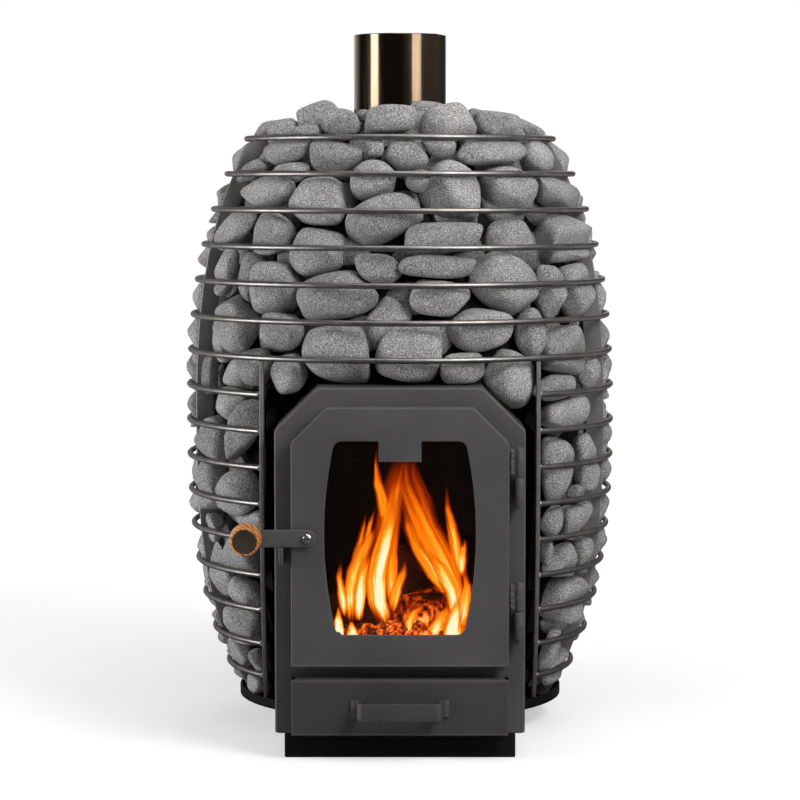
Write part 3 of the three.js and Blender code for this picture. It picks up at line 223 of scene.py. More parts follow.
# A row of overlapping beads between two points, as a weld leaves them
def weld_bead(start, end, width, count):
    directions, faces = ball(2)
    start = Vector(start)
    end = Vector(end)
    beads = []
    for bead in range(count):
        middle = start.lerp(end, (bead + 0.5) / count)
        size = width * random.uniform(0.85, 1.15)
        beads.append(([middle + size * Vector(direction) for direction in directions], faces))
    return merged(*beads)


# A piece of the visual model that moves with a body and takes the place of CAD nodes
def piece(name, shape, finish, body, nodes=()):
    points, faces = shape
    mesh = bpy.data.meshes.new(name)
    mesh.from_pydata([tuple(point) for point in points], [], faces)
    clean = bmesh.new()
    clean.from_mesh(mesh)
    bmesh.ops.remove_doubles(clean, verts=clean.verts, dist=1e-6)
    bmesh.ops.recalc_face_normals(clean, faces=clean.faces)
    clean.to_mesh(mesh)
    clean.free()
    mesh.shade_smooth()
    mesh.set_sharp_from_angle(angle=SMOOTH_ANGLE)
    mesh.materials.append(finish)
    made = bpy.data.objects.new(name, mesh)
    bpy.context.collection.objects.link(made)
    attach(made, body)
    if nodes:
        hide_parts(*nodes)
    return made


# A CAD node that keeps its shape, with softened edges and a new finish
def keep_node(name, finish, edge=0.0009):
    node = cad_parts[name]
    for slot in node.material_slots:
        slot.material = finish
    weld = node.modifiers.new("weld", "WELD")
    weld.merge_threshold = 1e-5
    bevel = node.modifiers.new("soft_edges", "BEVEL")
    bevel.width = edge
    bevel.segments = 2
    bevel.limit_method = "ANGLE"
    bevel.angle_limit = math.radians(35)
    bevel.harden_normals = False


# Materials

class Finish:
    """One Principled shader and short calls for the nodes that feed it."""

    def __init__(self, name, sockets):
        self.material = bpy.data.materials.new(name)
        self.material.use_nodes = True
        self.tree = self.material.node_tree
        self.shader = self.tree.nodes["Principled BSDF"]
        self.normal = None
        for socket, value in sockets.items():
            self.shader.inputs[socket].default_value = value

    def node(self, kind, inputs=(), **settings):
        made = self.tree.nodes.new("ShaderNode" + kind)
        for key, value in settings.items():
            setattr(made, key, value)
        for key, value in dict(inputs).items():
            if isinstance(value, bpy.types.NodeSocket):
                self.tree.links.new(value, made.inputs[key])
            else:
                made.inputs[key].default_value = value
        return made

    def place(self, stretch=(1, 1, 1)):
        where = self.node("TexCoord").outputs["Object"]
        return self.node("Mapping", {"Vector": where, "Scale": stretch}).outputs["Vector"]

    def noise(self, scale, detail=3.0, stretch=(1, 1, 1), distortion=0.0):
        inputs = {"Vector": self.place(stretch), "Scale": scale, "Detail": detail, "Distortion": distortion}
        return self.node("TexNoise", inputs).outputs["Fac"]

    def attribute(self, name):
        return self.node("Attribute", attribute_name=name).outputs["Fac"]

    def ramp(self, factor, *stops):
        made = self.node("ValToRGB", {"Fac": factor})
        elements = made.color_ramp.elements
        elements[0].position, elements[0].color = stops[0][0], tint(stops[0][1])
        elements[1].position, elements[1].color = stops[-1][0], tint(stops[-1][1])
        for position, colour in stops[1:-1]:
            elements.new(position).color = tint(colour)
        return made.outputs["Color"]

    def math(self, operation, first, second):
        return self.node("Math", {0: first, 1: second}, operation=operation).outputs["Value"]

    def mix(self, factor, first, second, blend="MIX"):
        made = self.node("Mix", data_type="RGBA", blend_type=blend)
        for index, value in ((0, factor), (6, first), (7, second)):
            if isinstance(value, bpy.types.NodeSocket):
                self.tree.links.new(value, made.inputs[index])
            else:
                made.inputs[index].default_value = value if index == 0 else tint(value)
        return made.outputs[2]

    def feed(self, socket, output):
        self.tree.links.new(output, self.shader.inputs[socket])

    def bump(self, height, strength, distance):
        inputs = {"Height": height, "Strength": strength, "Distance": distance}
        if self.normal is not None:
            inputs["Normal"] = self.normal
        self.normal = self.node("Bump", inputs).outputs["Normal"]
        self.feed("Normal", self.normal)


def tint(colour):
    if isinstance(colour, (int, float)):
        return (colour, colour, colour, 1)
    return (*colour, 1)


# Matt heat-proof paint with a fine texture, paler along worn edges
def paint(name, dark, light, worn, roughness=(0.5, 0.66), gloss=0.4):
    finish = Finish(name, {"Specular IOR Level": gloss})
    cloud = finish.noise(9, 5)
    base = finish.ramp(cloud, (0.35, dark), (0.65, light))
    edges = finish.node("NewGeometry").outputs["Pointiness"]
    scuffs = finish.math("MULTIPLY", finish.ramp(edges, (0.51, 0), (0.56, 1)), finish.noise(160, 3))
    finish.feed("Base Color", finish.mix(scuffs, base, worn))
    finish.feed("Roughness", finish.ramp(finish.noise(45, 4), (0.3, roughness[0]), (0.7, roughness[1])))
    finish.bump(finish.noise(1500, 2), 0.12, 0.0004)
    finish.bump(finish.noise(220, 2), 0.05, 0.0006)
    return finish.material


# Paint on the outside of the firebox and soot on its inside
def body_finish():
    finish = Finish("firebox_steel", {"Specular IOR Level": 0.3})
    low, high = box("firebox_shell")
    wall = 0.0025
    axes = finish.node("SeparateXYZ", {"Vector": finish.place()}).outputs
    across = finish.math("ABSOLUTE", axes["X"], 0.0)
    past_side = finish.math("SUBTRACT", across, high.x - wall)
    past_roof = finish.math("SUBTRACT", axes["Z"], high.z - wall)
    corner = high.x + high.z - BODY_CHAMFER - math.sqrt(2) * wall
    past_corner = finish.math("SUBTRACT", finish.math("ADD", across, axes["Z"]), corner)
    past_back = finish.math("SUBTRACT", axes["Y"], box("rear_plate")[1].y - wall)
    outside = finish.math("MAXIMUM", finish.math("MAXIMUM", past_side, past_roof),
                          finish.math("MAXIMUM", past_corner, past_back))
    painted = finish.math("GREATER_THAN", outside, 0.0)
    cloud = finish.noise(9, 5)
    coat = finish.ramp(cloud, (0.35, (0.046, 0.044, 0.0445)), (0.65, (0.060, 0.057, 0.0575)))
    soot = finish.ramp(finish.noise(30, 5), (0.3, (0.0014, 0.0010, 0.0008)), (0.7, (0.005, 0.0036, 0.003)))
    finish.feed("Base Color", finish.mix(painted, soot, coat))
    finish.feed("Roughness", finish.ramp(finish.noise(45, 4), (0.3, 0.56), (0.7, 0.7)))
    finish.bump(finish.noise(1500, 2), 0.12, 0.0004)
    return finish.material


# Drawn or rolled steel with faint scratches along one direction
def steel(name, dark, light, roughness, stretch=(1, 1, 1), metallic=1.0, rim=1.0):
    finish = Finish(name, {"Metallic": metallic, "Specular Tint": tint(rim)})
    finish.feed("Base Color", finish.ramp(finish.noise(60, 5), (0.3, dark), (0.7, light)))
    finish.feed("Roughness", finish.ramp(finish.noise(240, 3, stretch), (0.3, roughness[0]), (0.7, roughness[1])))
    finish.bump(finish.noise(700, 2, stretch), 0.08, 0.0003)
    return finish.material


# Dark mirror-bright flue with a brown heat tint that fades upwards
def flue_steel():
    finish = Finish("flue_steel", {"Metallic": 1.0})
    height = finish.node("SeparateXYZ", {"Vector": finish.place()}).outputs["Z"]
    cloud = finish.math("ADD", height, finish.math("MULTIPLY", finish.noise(14, 3), 0.05))
    heat = finish.ramp(cloud, (0.74, (0.12, 0.08, 0.055)), (0.88, (0.165, 0.118, 0.08)))
    finish.feed("Base Color", heat)
    finish.feed("Roughness", finish.ramp(finish.noise(300, 3, (1, 1, 0.05)), (0.3, 0.09), (0.7, 0.17)))
    finish.bump(finish.noise(500, 2, (1, 1, 0.04)), 0.03, 0.0002)
    return finish.material


# Tumbled grey stone with salt-and-pepper grain; a shade factor below 1 paints the shade on stones deep in the heap
def stone_finish(name, shade):
    finish = Finish(name, {"Specular IOR Level": 0.3})
    grain = finish.noise(640, 5)
    speckle = finish.ramp(grain, (0.30, 0.075 * shade), (0.43, 0.230 * shade), (0.55, 0.360 * shade),
                          (0.70, 0.68 * shade))
    cloud = finish.ramp(finish.noise(26, 4), (0.3, 0.78), (0.7, 1.1))
    tone = finish.ramp(finish.attribute("tone"), (0.0, (0.80, 0.80, 0.81)), (0.6, 0.97), (1.0, (1.12, 1.09, 1.05)))
    finish.feed("Base Color", finish.mix(1.0, finish.mix(1.0, speckle, cloud, "MULTIPLY"), tone, "MULTIPLY"))
    finish.feed("Roughness", finish.ramp(grain, (0.3, 0.95), (0.7, 0.78)))
    finish.bump(finish.noise(420, 3), 0.35, 0.0006)
    finish.bump(finish.noise(70, 3), 0.25, 0.002)
    return finish.material


# Oiled turned wood with growth rings and pores
def wood_finish():
    finish = Finish("knob_wood", {"Specular IOR Level": 0.4})
    where = finish.place((1, 0.35, 1))
    rings = finish.node("TexWave", {"Vector": where, "Scale": 95.0, "Distortion": 5.0, "Detail": 3.0,
                                    "Detail Scale": 2.2}, bands_direction="DIAGONAL").outputs["Fac"]
    base = finish.ramp(rings, (0.15, (0.38, 0.12, 0.027)), (0.5, (0.60, 0.22, 0.052)), (0.85, (0.76, 0.34, 0.11)))
    pores = finish.ramp(finish.noise(900, 2, (1, 0.15, 1)), (0.36, 0.45), (0.5, 1.0))
    finish.feed("Base Color", finish.mix(1.0, base, pores, "MULTIPLY"))
    finish.feed("Roughness", finish.ramp(rings, (0.0, 0.55), (1.0, 0.4)))
    finish.bump(finish.noise(900, 2, (1, 0.15, 1)), 0.2, 0.0004)
    return finish.material


# Braided glass-fibre rope
def rope_finish(name, scale):
    finish = Finish(name, {"Sheen Weight": 0.3})
    braid = finish.node("TexWave", {"Vector": finish.place((1, 1.6, 1)), "Scale": scale, "Distortion": 2.0,
                                    "Detail": 1.0}, bands_direction="DIAGONAL").outputs["Fac"]
    finish.feed("Base Color", finish.ramp(braid, (0.2, (0.05, 0.047, 0.042)), (0.8, (0.22, 0.20, 0.175))))
    finish.feed("Roughness", finish.ramp(finish.noise(300, 2), (0.3, 0.85), (0.7, 1.0)))
    finish.bump(braid, 0.7, 0.0012)
    return finish.material


# Clear heat-proof glass, faintly smoked, with a haze of soot
def glass_finish():
    finish = Finish("stove_glass", {"Transmission Weight": 1.0, "IOR": 1.1, "Specular IOR Level": 0.2})
    finish.feed("Base Color", finish.ramp(finish.noise(16, 4), (0.3, (0.93, 0.90, 0.87)), (0.75, (0.98, 0.96, 0.94))))
    finish.feed("Roughness", finish.ramp(finish.noise(22, 5), (0.45, 0.0), (0.85, 0.04)))
    return finish.material


# Charred firewood, checked into blocks, with a glow between them where the fire is hottest
def charred_finish():
    finish = Finish("charred_wood", {"Specular IOR Level": 0.15})
    grain = finish.noise(46, 6, (0.22, 1, 1), 0.8)
    char = finish.ramp(grain, (0.3, (0.018, 0.008, 0.005)), (0.6, (0.065, 0.027, 0.016)), (0.8, (0.17, 0.08, 0.045)))
    finish.feed("Base Color", char)
    blocks = finish.node("TexVoronoi", {"Vector": finish.place((0.7, 1, 0.8)), "Scale": 150.0},
                         feature="DISTANCE_TO_EDGE").outputs["Distance"]
    axes = finish.node("SeparateXYZ", {"Vector": finish.place()}).outputs
    low = finish.ramp(finish.math("ADD", axes["Z"], finish.math("MULTIPLY", finish.noise(26, 3), 0.05)),
                      (0.178, 1.0), (0.200, 0.0))
    right = finish.ramp(finish.math("ADD", finish.math("MULTIPLY", axes["X"], 4.5), finish.noise(30, 4)),
                        (0.40, 0.0), (0.78, 1.0))
    sparks = finish.ramp(finish.noise(170, 6, (1, 1, 0.5)), (0.38, 0.0), (0.62, 1.0))
    glow = finish.math("MULTIPLY", finish.math("MULTIPLY", low, right), sparks)
    finish.feed("Emission Color", finish.ramp(glow, (0.03, (0.0, 0.0, 0.0)), (0.20, (0.30, 0.018, 0.0)),
                                              (0.45, (0.95, 0.16, 0.004)), (0.80, (1.0, 0.62, 0.16))))
    finish.shader.inputs["Emission Strength"].default_value = 1.1
    finish.feed("Roughness", finish.ramp(grain, (0.3, 0.95), (0.7, 0.8)))
    finish.bump(blocks, 0.5, 0.003)
    finish.bump(grain, 0.9, 0.005)
    finish.bump(finish.noise(260, 3, (0.2, 1, 1)), 0.5, 0.0015)
    return finish.material


# Glowing coals
def ember_finish():
    finish = Finish("embers", {"Roughness": 0.95})
    heat = finish.math("ADD", finish.math("MULTIPLY", finish.attribute("tone"), 0.35),
                       finish.math("MULTIPLY", finish.noise(150, 5), 0.95))
    finish.feed("Base Color", finish.ramp(heat, (0.3, (0.012, 0.008, 0.007)), (0.8, (0.12, 0.04, 0.02))))
    finish.feed("Emission Color", finish.ramp(heat, (0.46, (0.0, 0.0, 0.0)), (0.60, (0.30, 0.02, 0.0)),
                                              (0.74, (0.95, 0.16, 0.006)), (0.92, (1.0, 0.60, 0.16))))
    finish.shader.inputs["Emission Strength"].default_value = 1.2
    finish.bump(finish.noise(300, 3), 0.6, 0.002)
    return finish.material


# Flame sheets: streaks along each flame, hot in the middle and at the root, clear at the edges and tip
def flame_finish():
    finish = Finish("flames", {"Base Color": (0, 0, 0, 1), "Roughness": 1.0, "Specular IOR Level": 0.0})
    across = finish.attribute("across")
    along = finish.attribute("along")
    start = finish.attribute("start")
    vigour = finish.attribute("vigour")
    where = finish.node("CombineXYZ", {"X": across, "Y": finish.math("MULTIPLY", along, 2.4), "Z": start})
    flow = where.outputs["Vector"]
    sway = finish.node("TexNoise", {"Vector": flow, "Scale": 1.3, "Detail": 2.0}).outputs["Fac"]
    bend = finish.math("MULTIPLY", finish.math("SUBTRACT", sway, 0.5), 1.5)
    swayed = finish.math("ADD", across, finish.math("MULTIPLY", bend, finish.math("POWER", along, 0.7)))
    thread = finish.node("CombineXYZ", {"X": finish.math("MULTIPLY", swayed, 3.2),
                                        "Y": finish.math("MULTIPLY", along, 1.6), "Z": start})
    streaks = finish.node("TexNoise", {"Vector": thread.outputs["Vector"], "Scale": 1.15, "Detail": 3.0,
                                       "Roughness": 0.5, "Distortion": 0.6}).outputs["Fac"]
    body = finish.math("SUBTRACT", 1.0, finish.math("POWER", finish.math("ABSOLUTE", swayed, 0.0), 1.7))
    fade = finish.math("SUBTRACT", 1.0, finish.math("POWER", along, 2.0))
    rim = finish.math("SUBTRACT", 1.0, finish.math("POWER", finish.math("ABSOLUTE", across, 0.0), 6.0))
    mass = finish.math("MULTIPLY", finish.math("MULTIPLY", body, fade), rim)
    grain = finish.math("ADD", finish.math("MULTIPLY", streaks, 1.5), 0.16)
    lifted = finish.math("ADD", along, finish.math("MULTIPLY", finish.math("SUBTRACT", streaks, 0.5), 0.16))
    root = finish.ramp(lifted, (0.0, 0.0), (0.18, 0.86))
    warmth = finish.math("MULTIPLY", finish.math("MULTIPLY", mass, grain), finish.math("MULTIPLY", vigour, root))
    finish.feed("Emission Color", finish.ramp(warmth, (0.04, (0.16, 0.004, 0.0)), (0.20, (0.60, 0.045, 0.0)),
                                              (0.38, (1.0, 0.18, 0.001)), (0.58, (1.0, 0.34, 0.010)),
                                              (0.74, (1.0, 0.66, 0.12)), (0.95, (1.0, 0.93, 0.60))))
    finish.shader.inputs["Emission Strength"].default_value = 1.1
    finish.feed("Alpha", finish.ramp(warmth, (0.02, 0.0), (0.18, 0.32), (0.36, 0.90), (0.52, 1.0)))
    return finish.material


# Loose wood ash in the pan
def ash_finish():
    finish = Finish("ash", {})
    finish.feed("Base Color", finish.ramp(finish.noise(90, 6), (0.3, (0.22, 0.212, 0.205)), (0.7, (0.34, 0.33, 0.32))))
    finish.feed("Roughness", finish.ramp(finish.noise(40, 2), (0.3, 0.95), (0.7, 1.0)))
    finish.bump(finish.noise(240, 5), 0.8, 0.003)
    return finish.material


BODY_STEEL = body_finish()
PAINT = paint("black_steel", (0.060, 0.0573, 0.0578), (0.077, 0.0733, 0.074), (0.15, 0.145, 0.14))
# Painted shade: a darker copy of the black paint for the drawer, the hinge knuckles and the keeper, which lie lower or
# in shadow
SHADED_PAINT = paint("shaded_black_steel", (0.034, 0.0322, 0.0328), (0.0445, 0.042, 0.0427), (0.12, 0.115, 0.11))
# Near-black paint: partly the dark steel of the tray, ash pan and clips, partly painted shade on the plinth and the
# heap's core
DARK_AND_SHADE_PAINT = paint("dark_steel", (0.0022, 0.0022, 0.0024), (0.004, 0.004, 0.0043), (0.012, 0.012, 0.012),
                   (0.6, 0.75), 0.12)
SOOT_PAINT = paint("sooty_steel", (0.003, 0.0025, 0.0023), (0.008, 0.0065, 0.006), (0.012, 0.010, 0.009), (0.85, 0.97),
                   0.1)
ROD_STEEL = steel("rod_steel", (0.24, 0.228, 0.22), (0.34, 0.323, 0.31), (0.36, 0.50), rim=0.3)
RIB_STEEL = steel("rib_steel", (0.21, 0.20, 0.193), (0.30, 0.285, 0.275), (0.42, 0.6), (1, 1, 0.2), 0.35)
BAR_STEEL = steel("bar_steel", (0.16, 0.152, 0.146), (0.24, 0.228, 0.219), (0.38, 0.55), (1, 1, 0.2), 0.35)
BRIGHT_STEEL = steel("bright_steel", (0.60, 0.60, 0.60), (0.78, 0.78, 0.78), (0.14, 0.26))
CAST_IRON = steel("cast_iron", (0.012, 0.011, 0.011), (0.03, 0.028, 0.027), (0.75, 0.95), (1, 1, 1), 0.3)
DISC_BRONZE = steel("disc_bronze", (0.060, 0.043, 0.034), (0.105, 0.078, 0.062), (0.35, 0.5), (1, 1, 1), 0.6)
FLUE_STEEL = flue_steel()
STONE = stone_finish("stone", 1.0)
# Painted shade: a darker copy of the stone for the inner layer and the stones under the crown
SHADED_INNER_STONE = stone_finish("inner_stone", 0.62)
KNOB_WOOD = wood_finish()
ROPE = rope_finish("sealing_rope", 150.0)
GASKET = rope_finish("gasket_tape", 320.0)
GLASS = glass_finish()
CHARRED = charred_finish()
EMBERS = ember_finish()
FLAMES = flame_finish()
ASH = ash_finish()


# Cage

# Radius of the rods' centre line at a height, carried on over the dome of stones
def cage_radius(height):
    share = min(abs(height - BELLY_HEIGHT) / POLE_HEIGHT, 1)
    return BELLY_RADIUS * (1 - share ** CAGE_FULLNESS) ** (1 / CAGE_FULLNESS)


RING_HEIGHTS = [(box(name)[0].z + box(name)[1].z) / 2 for name in RING_NAMES]
BAR_OUTER = box("opening_bar_right")[1].x
TRAY_RADIUS = box("stone_tray")[1].x


# A point on a circle about Z, with angle 0 at the front and positive angles to the right
def around(radius, angle, height):
    return Vector((radius * math.sin(angle), -radius * math.cos(angle), height))


def cage_rings():
    segments = 120
    for number, name in enumerate(RING_NAMES):
        height = RING_HEIGHTS[number]
        radius = cage_radius(height)
        if number < FULL_RINGS:
            turns = [2 * math.pi * step / segments for step in range(segments)]
            shape = rod([around(radius, turn, height) for turn in turns], ROD_RADIUS, 12, True)
        else:
            start = math.asin((BAR_OUTER + SEAT_GAP) / radius)
            span = 2 * math.pi - 2 * start
            turns = [start + span * step / segments for step in range(segments + 1)]
            ends = [around(radius, turns[0], height), around(radius, turns[-1], height)]
            beads = [weld_bead(end - Vector((0, 0, 0.002)), end + Vector((0, 0, 0.002)), 0.0028, 3) for end in ends]
            shape = merged(rod([around(radius, turn, height) for turn in turns], ROD_RADIUS), *beads)
        piece(f"ring_{number + 1:02d}", shape, ROD_STEEL, "stove", [name])


# Outline of a fin that follows the rods, in distance from the axis and height
def rib_outline(bottom, top, reach, depth):
    steps = 60
    heights = [bottom + (top - bottom) * step / steps for step in range(steps + 1)]
    outer = [(reach(height), height) for height in heights]
    inner = [(reach(height) - depth, height) for height in heights]
    middle = reach(top) - depth / 2
    crown = [(middle + depth / 2 * math.cos(turn), top + depth / 4 * math.sin(turn))
             for turn in np.linspace(0.35, math.pi - 0.35, 9)]
    return outer + crown + inner[::-1]


def cage_ribs():
    angles = {"right_side": 75, "right_rear": 150, "left_rear": -150, "left_side": -75}
    depth = 0.022
    thickness = 0.004
    low, high = box("cage_rib_right_side")
    top = high.z - depth / 4
    outline = rib_outline(low.z, top, lambda height: cage_radius(height) - ROD_RADIUS - SEAT_GAP, depth)
    fin = shifted(plate([outline], thickness, THIN_EDGE), (0, 0, -thickness / 2))
    upright = moved(fin, Matrix.Rotation(math.pi / 2, 4, "X"))
    for place, angle in angles.items():
        shape = moved(upright, Matrix.Rotation(math.radians(angle - 90), 4, "Z"))
        piece(f"rib_{place}", shape, RIB_STEEL, "stove", [f"cage_rib_{place}"])


def opening_bars():
    depth = 0.020
    lip = 0.0055
    low, high = box("opening_bar_right")

    def reach(height):
        return -math.sqrt(cage_radius(height) ** 2 - BAR_OUTER ** 2) - lip

    steps = 48
    heights = [low.z + (high.z - low.z) * step / steps for step in range(steps + 1)]
    outline = [(reach(height), height) for height in heights]
    outline += [(reach(height) + depth, height) for height in reversed(heights)]
    turn = Matrix(((0, 0, 1, 0), (1, 0, 0, 0), (0, 1, 0, 0), (0, 0, 0, 1)))
    bar = moved(plate([outline], high.x - low.x, THIN_EDGE), turn)
    for side, left in (("left", -high.x), ("right", low.x)):
        piece(f"bar_{side}", shifted(bar, (left, 0, 0)), BAR_STEEL, "stove", [f"opening_bar_{side}"])


# A dish around the back of the body with a rolled rim
def stone_tray():
    low, high = box("stone_tray")
    body = box("firebox_shell")[1]
    back = box("rear_plate")[1].y + SEAT_GAP
    half = body.x + SEAT_GAP
    sheet = 0.003
    start = math.asin(half / TRAY_RADIUS)
    turns = np.linspace(start, 2 * math.pi - start, 90)
    rim_line = [around(TRAY_RADIUS, turn, 0) for turn in turns]
    outline = [(point.x, point.y) for point in rim_line]
    outline += [(-half, back), (half, back)]
    floor = lying([outline], low.z, sheet, THIN_EDGE)
    inside = [around(TRAY_RADIUS - sheet, turn, 0) for turn in turns]
    wall = [(point.x, point.y) for point in rim_line] + [(point.x, point.y) for point in reversed(inside)]
    rim = lying([wall], low.z, high.z - low.z, THIN_EDGE)
    piece("tray", merged(floor, rim), DARK_AND_SHADE_PAINT, "stove", ["stone_tray"])


# Stones

# Stones in the photograph: column and row of the middle, half width and half height in pixels, lean in degrees
CROWN_STONES = [
    (317, 119, 22, 16, 15), (343, 122, 20, 13, 0), (391, 120, 28, 14, 3), (426, 108, 18, 7, 0),
    (447, 124, 27, 19, 10), (478, 117, 10, 8, -20), (498, 124, 25, 14, -8), (531, 130, 17, 8, -22),
    (283, 130, 20, 8, 12), (307, 131, 13, 6, 5), (366, 117, 9, 7, 0),
]
UPPER_STONES = [
    (250, 154, 14, 14, 50), (287, 151, 25, 14, 8), (336, 155, 27, 15, -5), (376, 148, 9, 10, 0),
    (408, 157, 24, 18, -20), (441, 147, 19, 9, 0), (490, 153, 34, 14, 3), (535, 159, 16, 18, 30),
    (218, 190, 14, 14, 35), (253, 170, 14, 9, 20), (286, 171, 19, 11, 5), (271, 191, 27, 16, 8),
    (321, 202, 30, 27, 0), (373, 181, 26, 24, 10), (418, 181, 12, 12, 40), (384, 216, 39, 24, 20),
    (454, 192, 32, 31, 0), (509, 189, 29, 23, -15), (555, 193, 22, 17, -15), (580, 197, 7, 13, 0),
    (207, 225, 9, 16, 5), (235, 229, 20, 15, 30), (275, 234, 22, 21, 0), (317, 252, 27, 26, -8),
    (443, 239, 38, 17, 8), (438, 266, 40, 13, -2), (514, 243, 22, 26, 5),
    (564, 241, 28, 25, 0), (594, 229, 5, 16, 0),
]
MIDDLE_STONES = [
    (204, 266, 6, 17, 0), (227, 273, 9, 26, -3), (248, 277, 12, 25, -6), (276, 289, 28, 28, -15),
    (336, 294, 41, 25, 8), (378, 270, 25, 16, -15), (438, 299, 30, 20, 0), (505, 283, 35, 30, -25),
    (551, 290, 14, 28, 0), (576, 291, 16, 29, 0), (597, 303, 6, 22, 0), (199, 300, 5, 18, 0),
    (237, 324, 21, 31, 0), (210, 337, 8, 24, 0), (281, 331, 22, 18, -15), (337, 352, 36, 31, 0),
    (385, 324, 20, 30, -25), (484, 328, 33, 22, 3), (531, 332, 14, 26, 0),
    (410, 353, 36, 31, 0), (561, 352, 26, 25, -10), (463, 368, 23, 15, 10), (511, 380, 25, 29, -10),
    (255, 367, 16, 18, 0), (290, 373, 17, 20, 0), (231, 379, 18, 20, 0), (200, 373, 5, 20, 0),
    (590, 373, 8, 16, 0), (608, 368, 5, 15, 0),
]
SIDE_STONES = [
    (191, 398, 5, 15, 0), (231, 402, 20, 22, 0), (243, 430, 18, 34, -20), (216, 437, 16, 22, 0),
    (192, 436, 4, 16, 0), (214, 484, 16, 27, 0), (241, 495, 22, 28, 0), (215, 527, 6, 14, 0),
    (243, 521, 20, 12, 0), (221, 572, 10, 29, 8), (244, 556, 20, 20, 0), (247, 592, 16, 17, 0),
    (246, 626, 19, 22, 0), (226, 616, 8, 15, 15), (241, 651, 10, 16, 25), (259, 660, 6, 13, 0),
    (259, 684, 9, 13, 0), (211, 594, 4, 16, 0), (236, 672, 6, 8, 0), (560, 387, 21, 14, 5),
    (566, 412, 25, 18, 0), (556, 468, 16, 34, 0), (585, 464, 11, 31, 15), (577, 494, 6, 9, 0),
    (552, 523, 10, 16, 0), (571, 521, 12, 17, 0), (590, 512, 10, 20, 12), (546, 552, 5, 14, 0),
    (562, 561, 17, 19, 0), (582, 554, 9, 19, 0), (564, 596, 20, 26, 0), (567, 622, 17, 15, 12),
    (549, 652, 8, 22, 0), (560, 655, 6, 15, 0), (585, 643, 7, 10, 0), (570, 667, 8, 6, 10),
    (549, 685, 9, 9, 0), (605, 430, 5, 17, 0), (606, 472, 5, 17, 0),
]


# Direction from the camera through a place in the photograph
def sight_line(column, row):
    right = (column - PICTURE_MIDDLE[0]) / FOCAL_PIXELS
    up = (PICTURE_MIDDLE[1] - row) / FOCAL_PIXELS
    ahead = math.cos(CAMERA_DIP) + up * math.sin(CAMERA_DIP)
    rise = up * math.cos(CAMERA_DIP) - math.sin(CAMERA_DIP)
    return Vector((right, ahead, rise))


# Radius of the heap's outside at a height, domed above the top ring
def heap_radius(height):
    top = RING_HEIGHTS[0]
    if height <= top:
        return cage_radius(height)
    share = min((height - top) / HEAP_RISE, 1)
    return cage_radius(top) * math.sqrt(1 - share ** 2)


# First point along a line of sight that lies that deep in the heap, or the nearest one beside it
def on_heap(column, row, depth=0.0):
    line = sight_line(column, row)
    nearest = None
    nearest_gap = 1
    for reach in np.arange(3.2, 3.75, 0.002):
        point = CAMERA_PLACE + line * reach
        gap = math.hypot(point.x, point.y) - heap_radius(point.z) + STONE_INSET + depth
        if gap < nearest_gap:
            nearest = point
            nearest_gap = gap
        if gap <= 0:
            break
    return nearest


# Outward direction of the heap's outside
def outward(point):
    step = 0.002
    slope = (heap_radius(point.z + step) - heap_radius(point.z - step)) / (2 * step)
    flat = Vector((point.x, point.y, 0)).normalized()
    return (flat - Vector((0, 0, max(min(slope, 0.8), -6)))).normalized()


class Stone:
    """A pebble's middle, its three axes, their half lengths and how light it is."""

    def __init__(self, surface, normal, half_width, half_height, lean):
        level = Vector((0, 0, 1)).cross(Vector((surface.x, surface.y, 0))).normalized()
        if normal.z < 0.1 and abs(normal.x) < 0.01:
            level = Vector((1, 0, 0))
        upward = normal.cross(level)
        turn = math.radians(lean)
        wide = math.cos(turn) * level + math.sin(turn) * upward
        tall = math.cos(turn) * upward - math.sin(turn) * level
        half_depth = min(max(DEPTH_SHARE * min(half_width, half_height), SMALLEST_HALF_DEPTH), LARGEST_HALF_DEPTH)
        self.axes = np.array([wide, tall, normal])
        self.half = np.array([half_width, half_height, half_depth])
        self.middle = np.array(surface - normal * half_depth)
        self.tone = random.uniform()
        self.cuts = []

    def size(self):
        return (self.half[0] + self.half[1]) / 2

    # How far the stone reaches along a direction
    def reach(self, direction):
        return np.linalg.norm(self.half * (self.axes @ direction))

    # Matrix whose inverse gives the direction in which two stones part
    def spread(self):
        return self.axes.T @ np.diag(self.half ** 2) @ self.axes


# A stone at its place in the photograph, as wide and high as it shows there
def seen_stone(column, row, half_width, half_height, lean):
    surface = on_heap(column, row)
    scale = SEEN_FIT * (surface - CAMERA_PLACE).length / FOCAL_PIXELS
    facing_us = -surface.y / math.hypot(surface.x, surface.y)
    foreshortened = max(facing_us, LEAST_FACING)
    shown = half_width * scale
    side_on = DEPTH_SHARE * min(shown, half_height * scale) * math.sqrt(1 - foreshortened ** 2)
    across = math.sqrt(max(shown ** 2 - side_on ** 2, (0.5 * shown) ** 2)) / foreshortened
    stone = Stone(surface, outward(surface), across, half_height * scale, lean)
    if facing_us > LEAST_FACING:
        stone.middle = np.array(on_heap(column, row, stone.half[2] * facing_us))
    return stone


# A stone on the crown of the heap, upright towards the front
def crown_stone(column, row, half_width, half_height, lean):
    surface = on_heap(column, row)
    scale = SEEN_FIT * (surface - CAMERA_PLACE).length / FOCAL_PIXELS
    return Stone(surface, Vector((0, -1, 0)), half_width * scale, half_height * scale, lean)


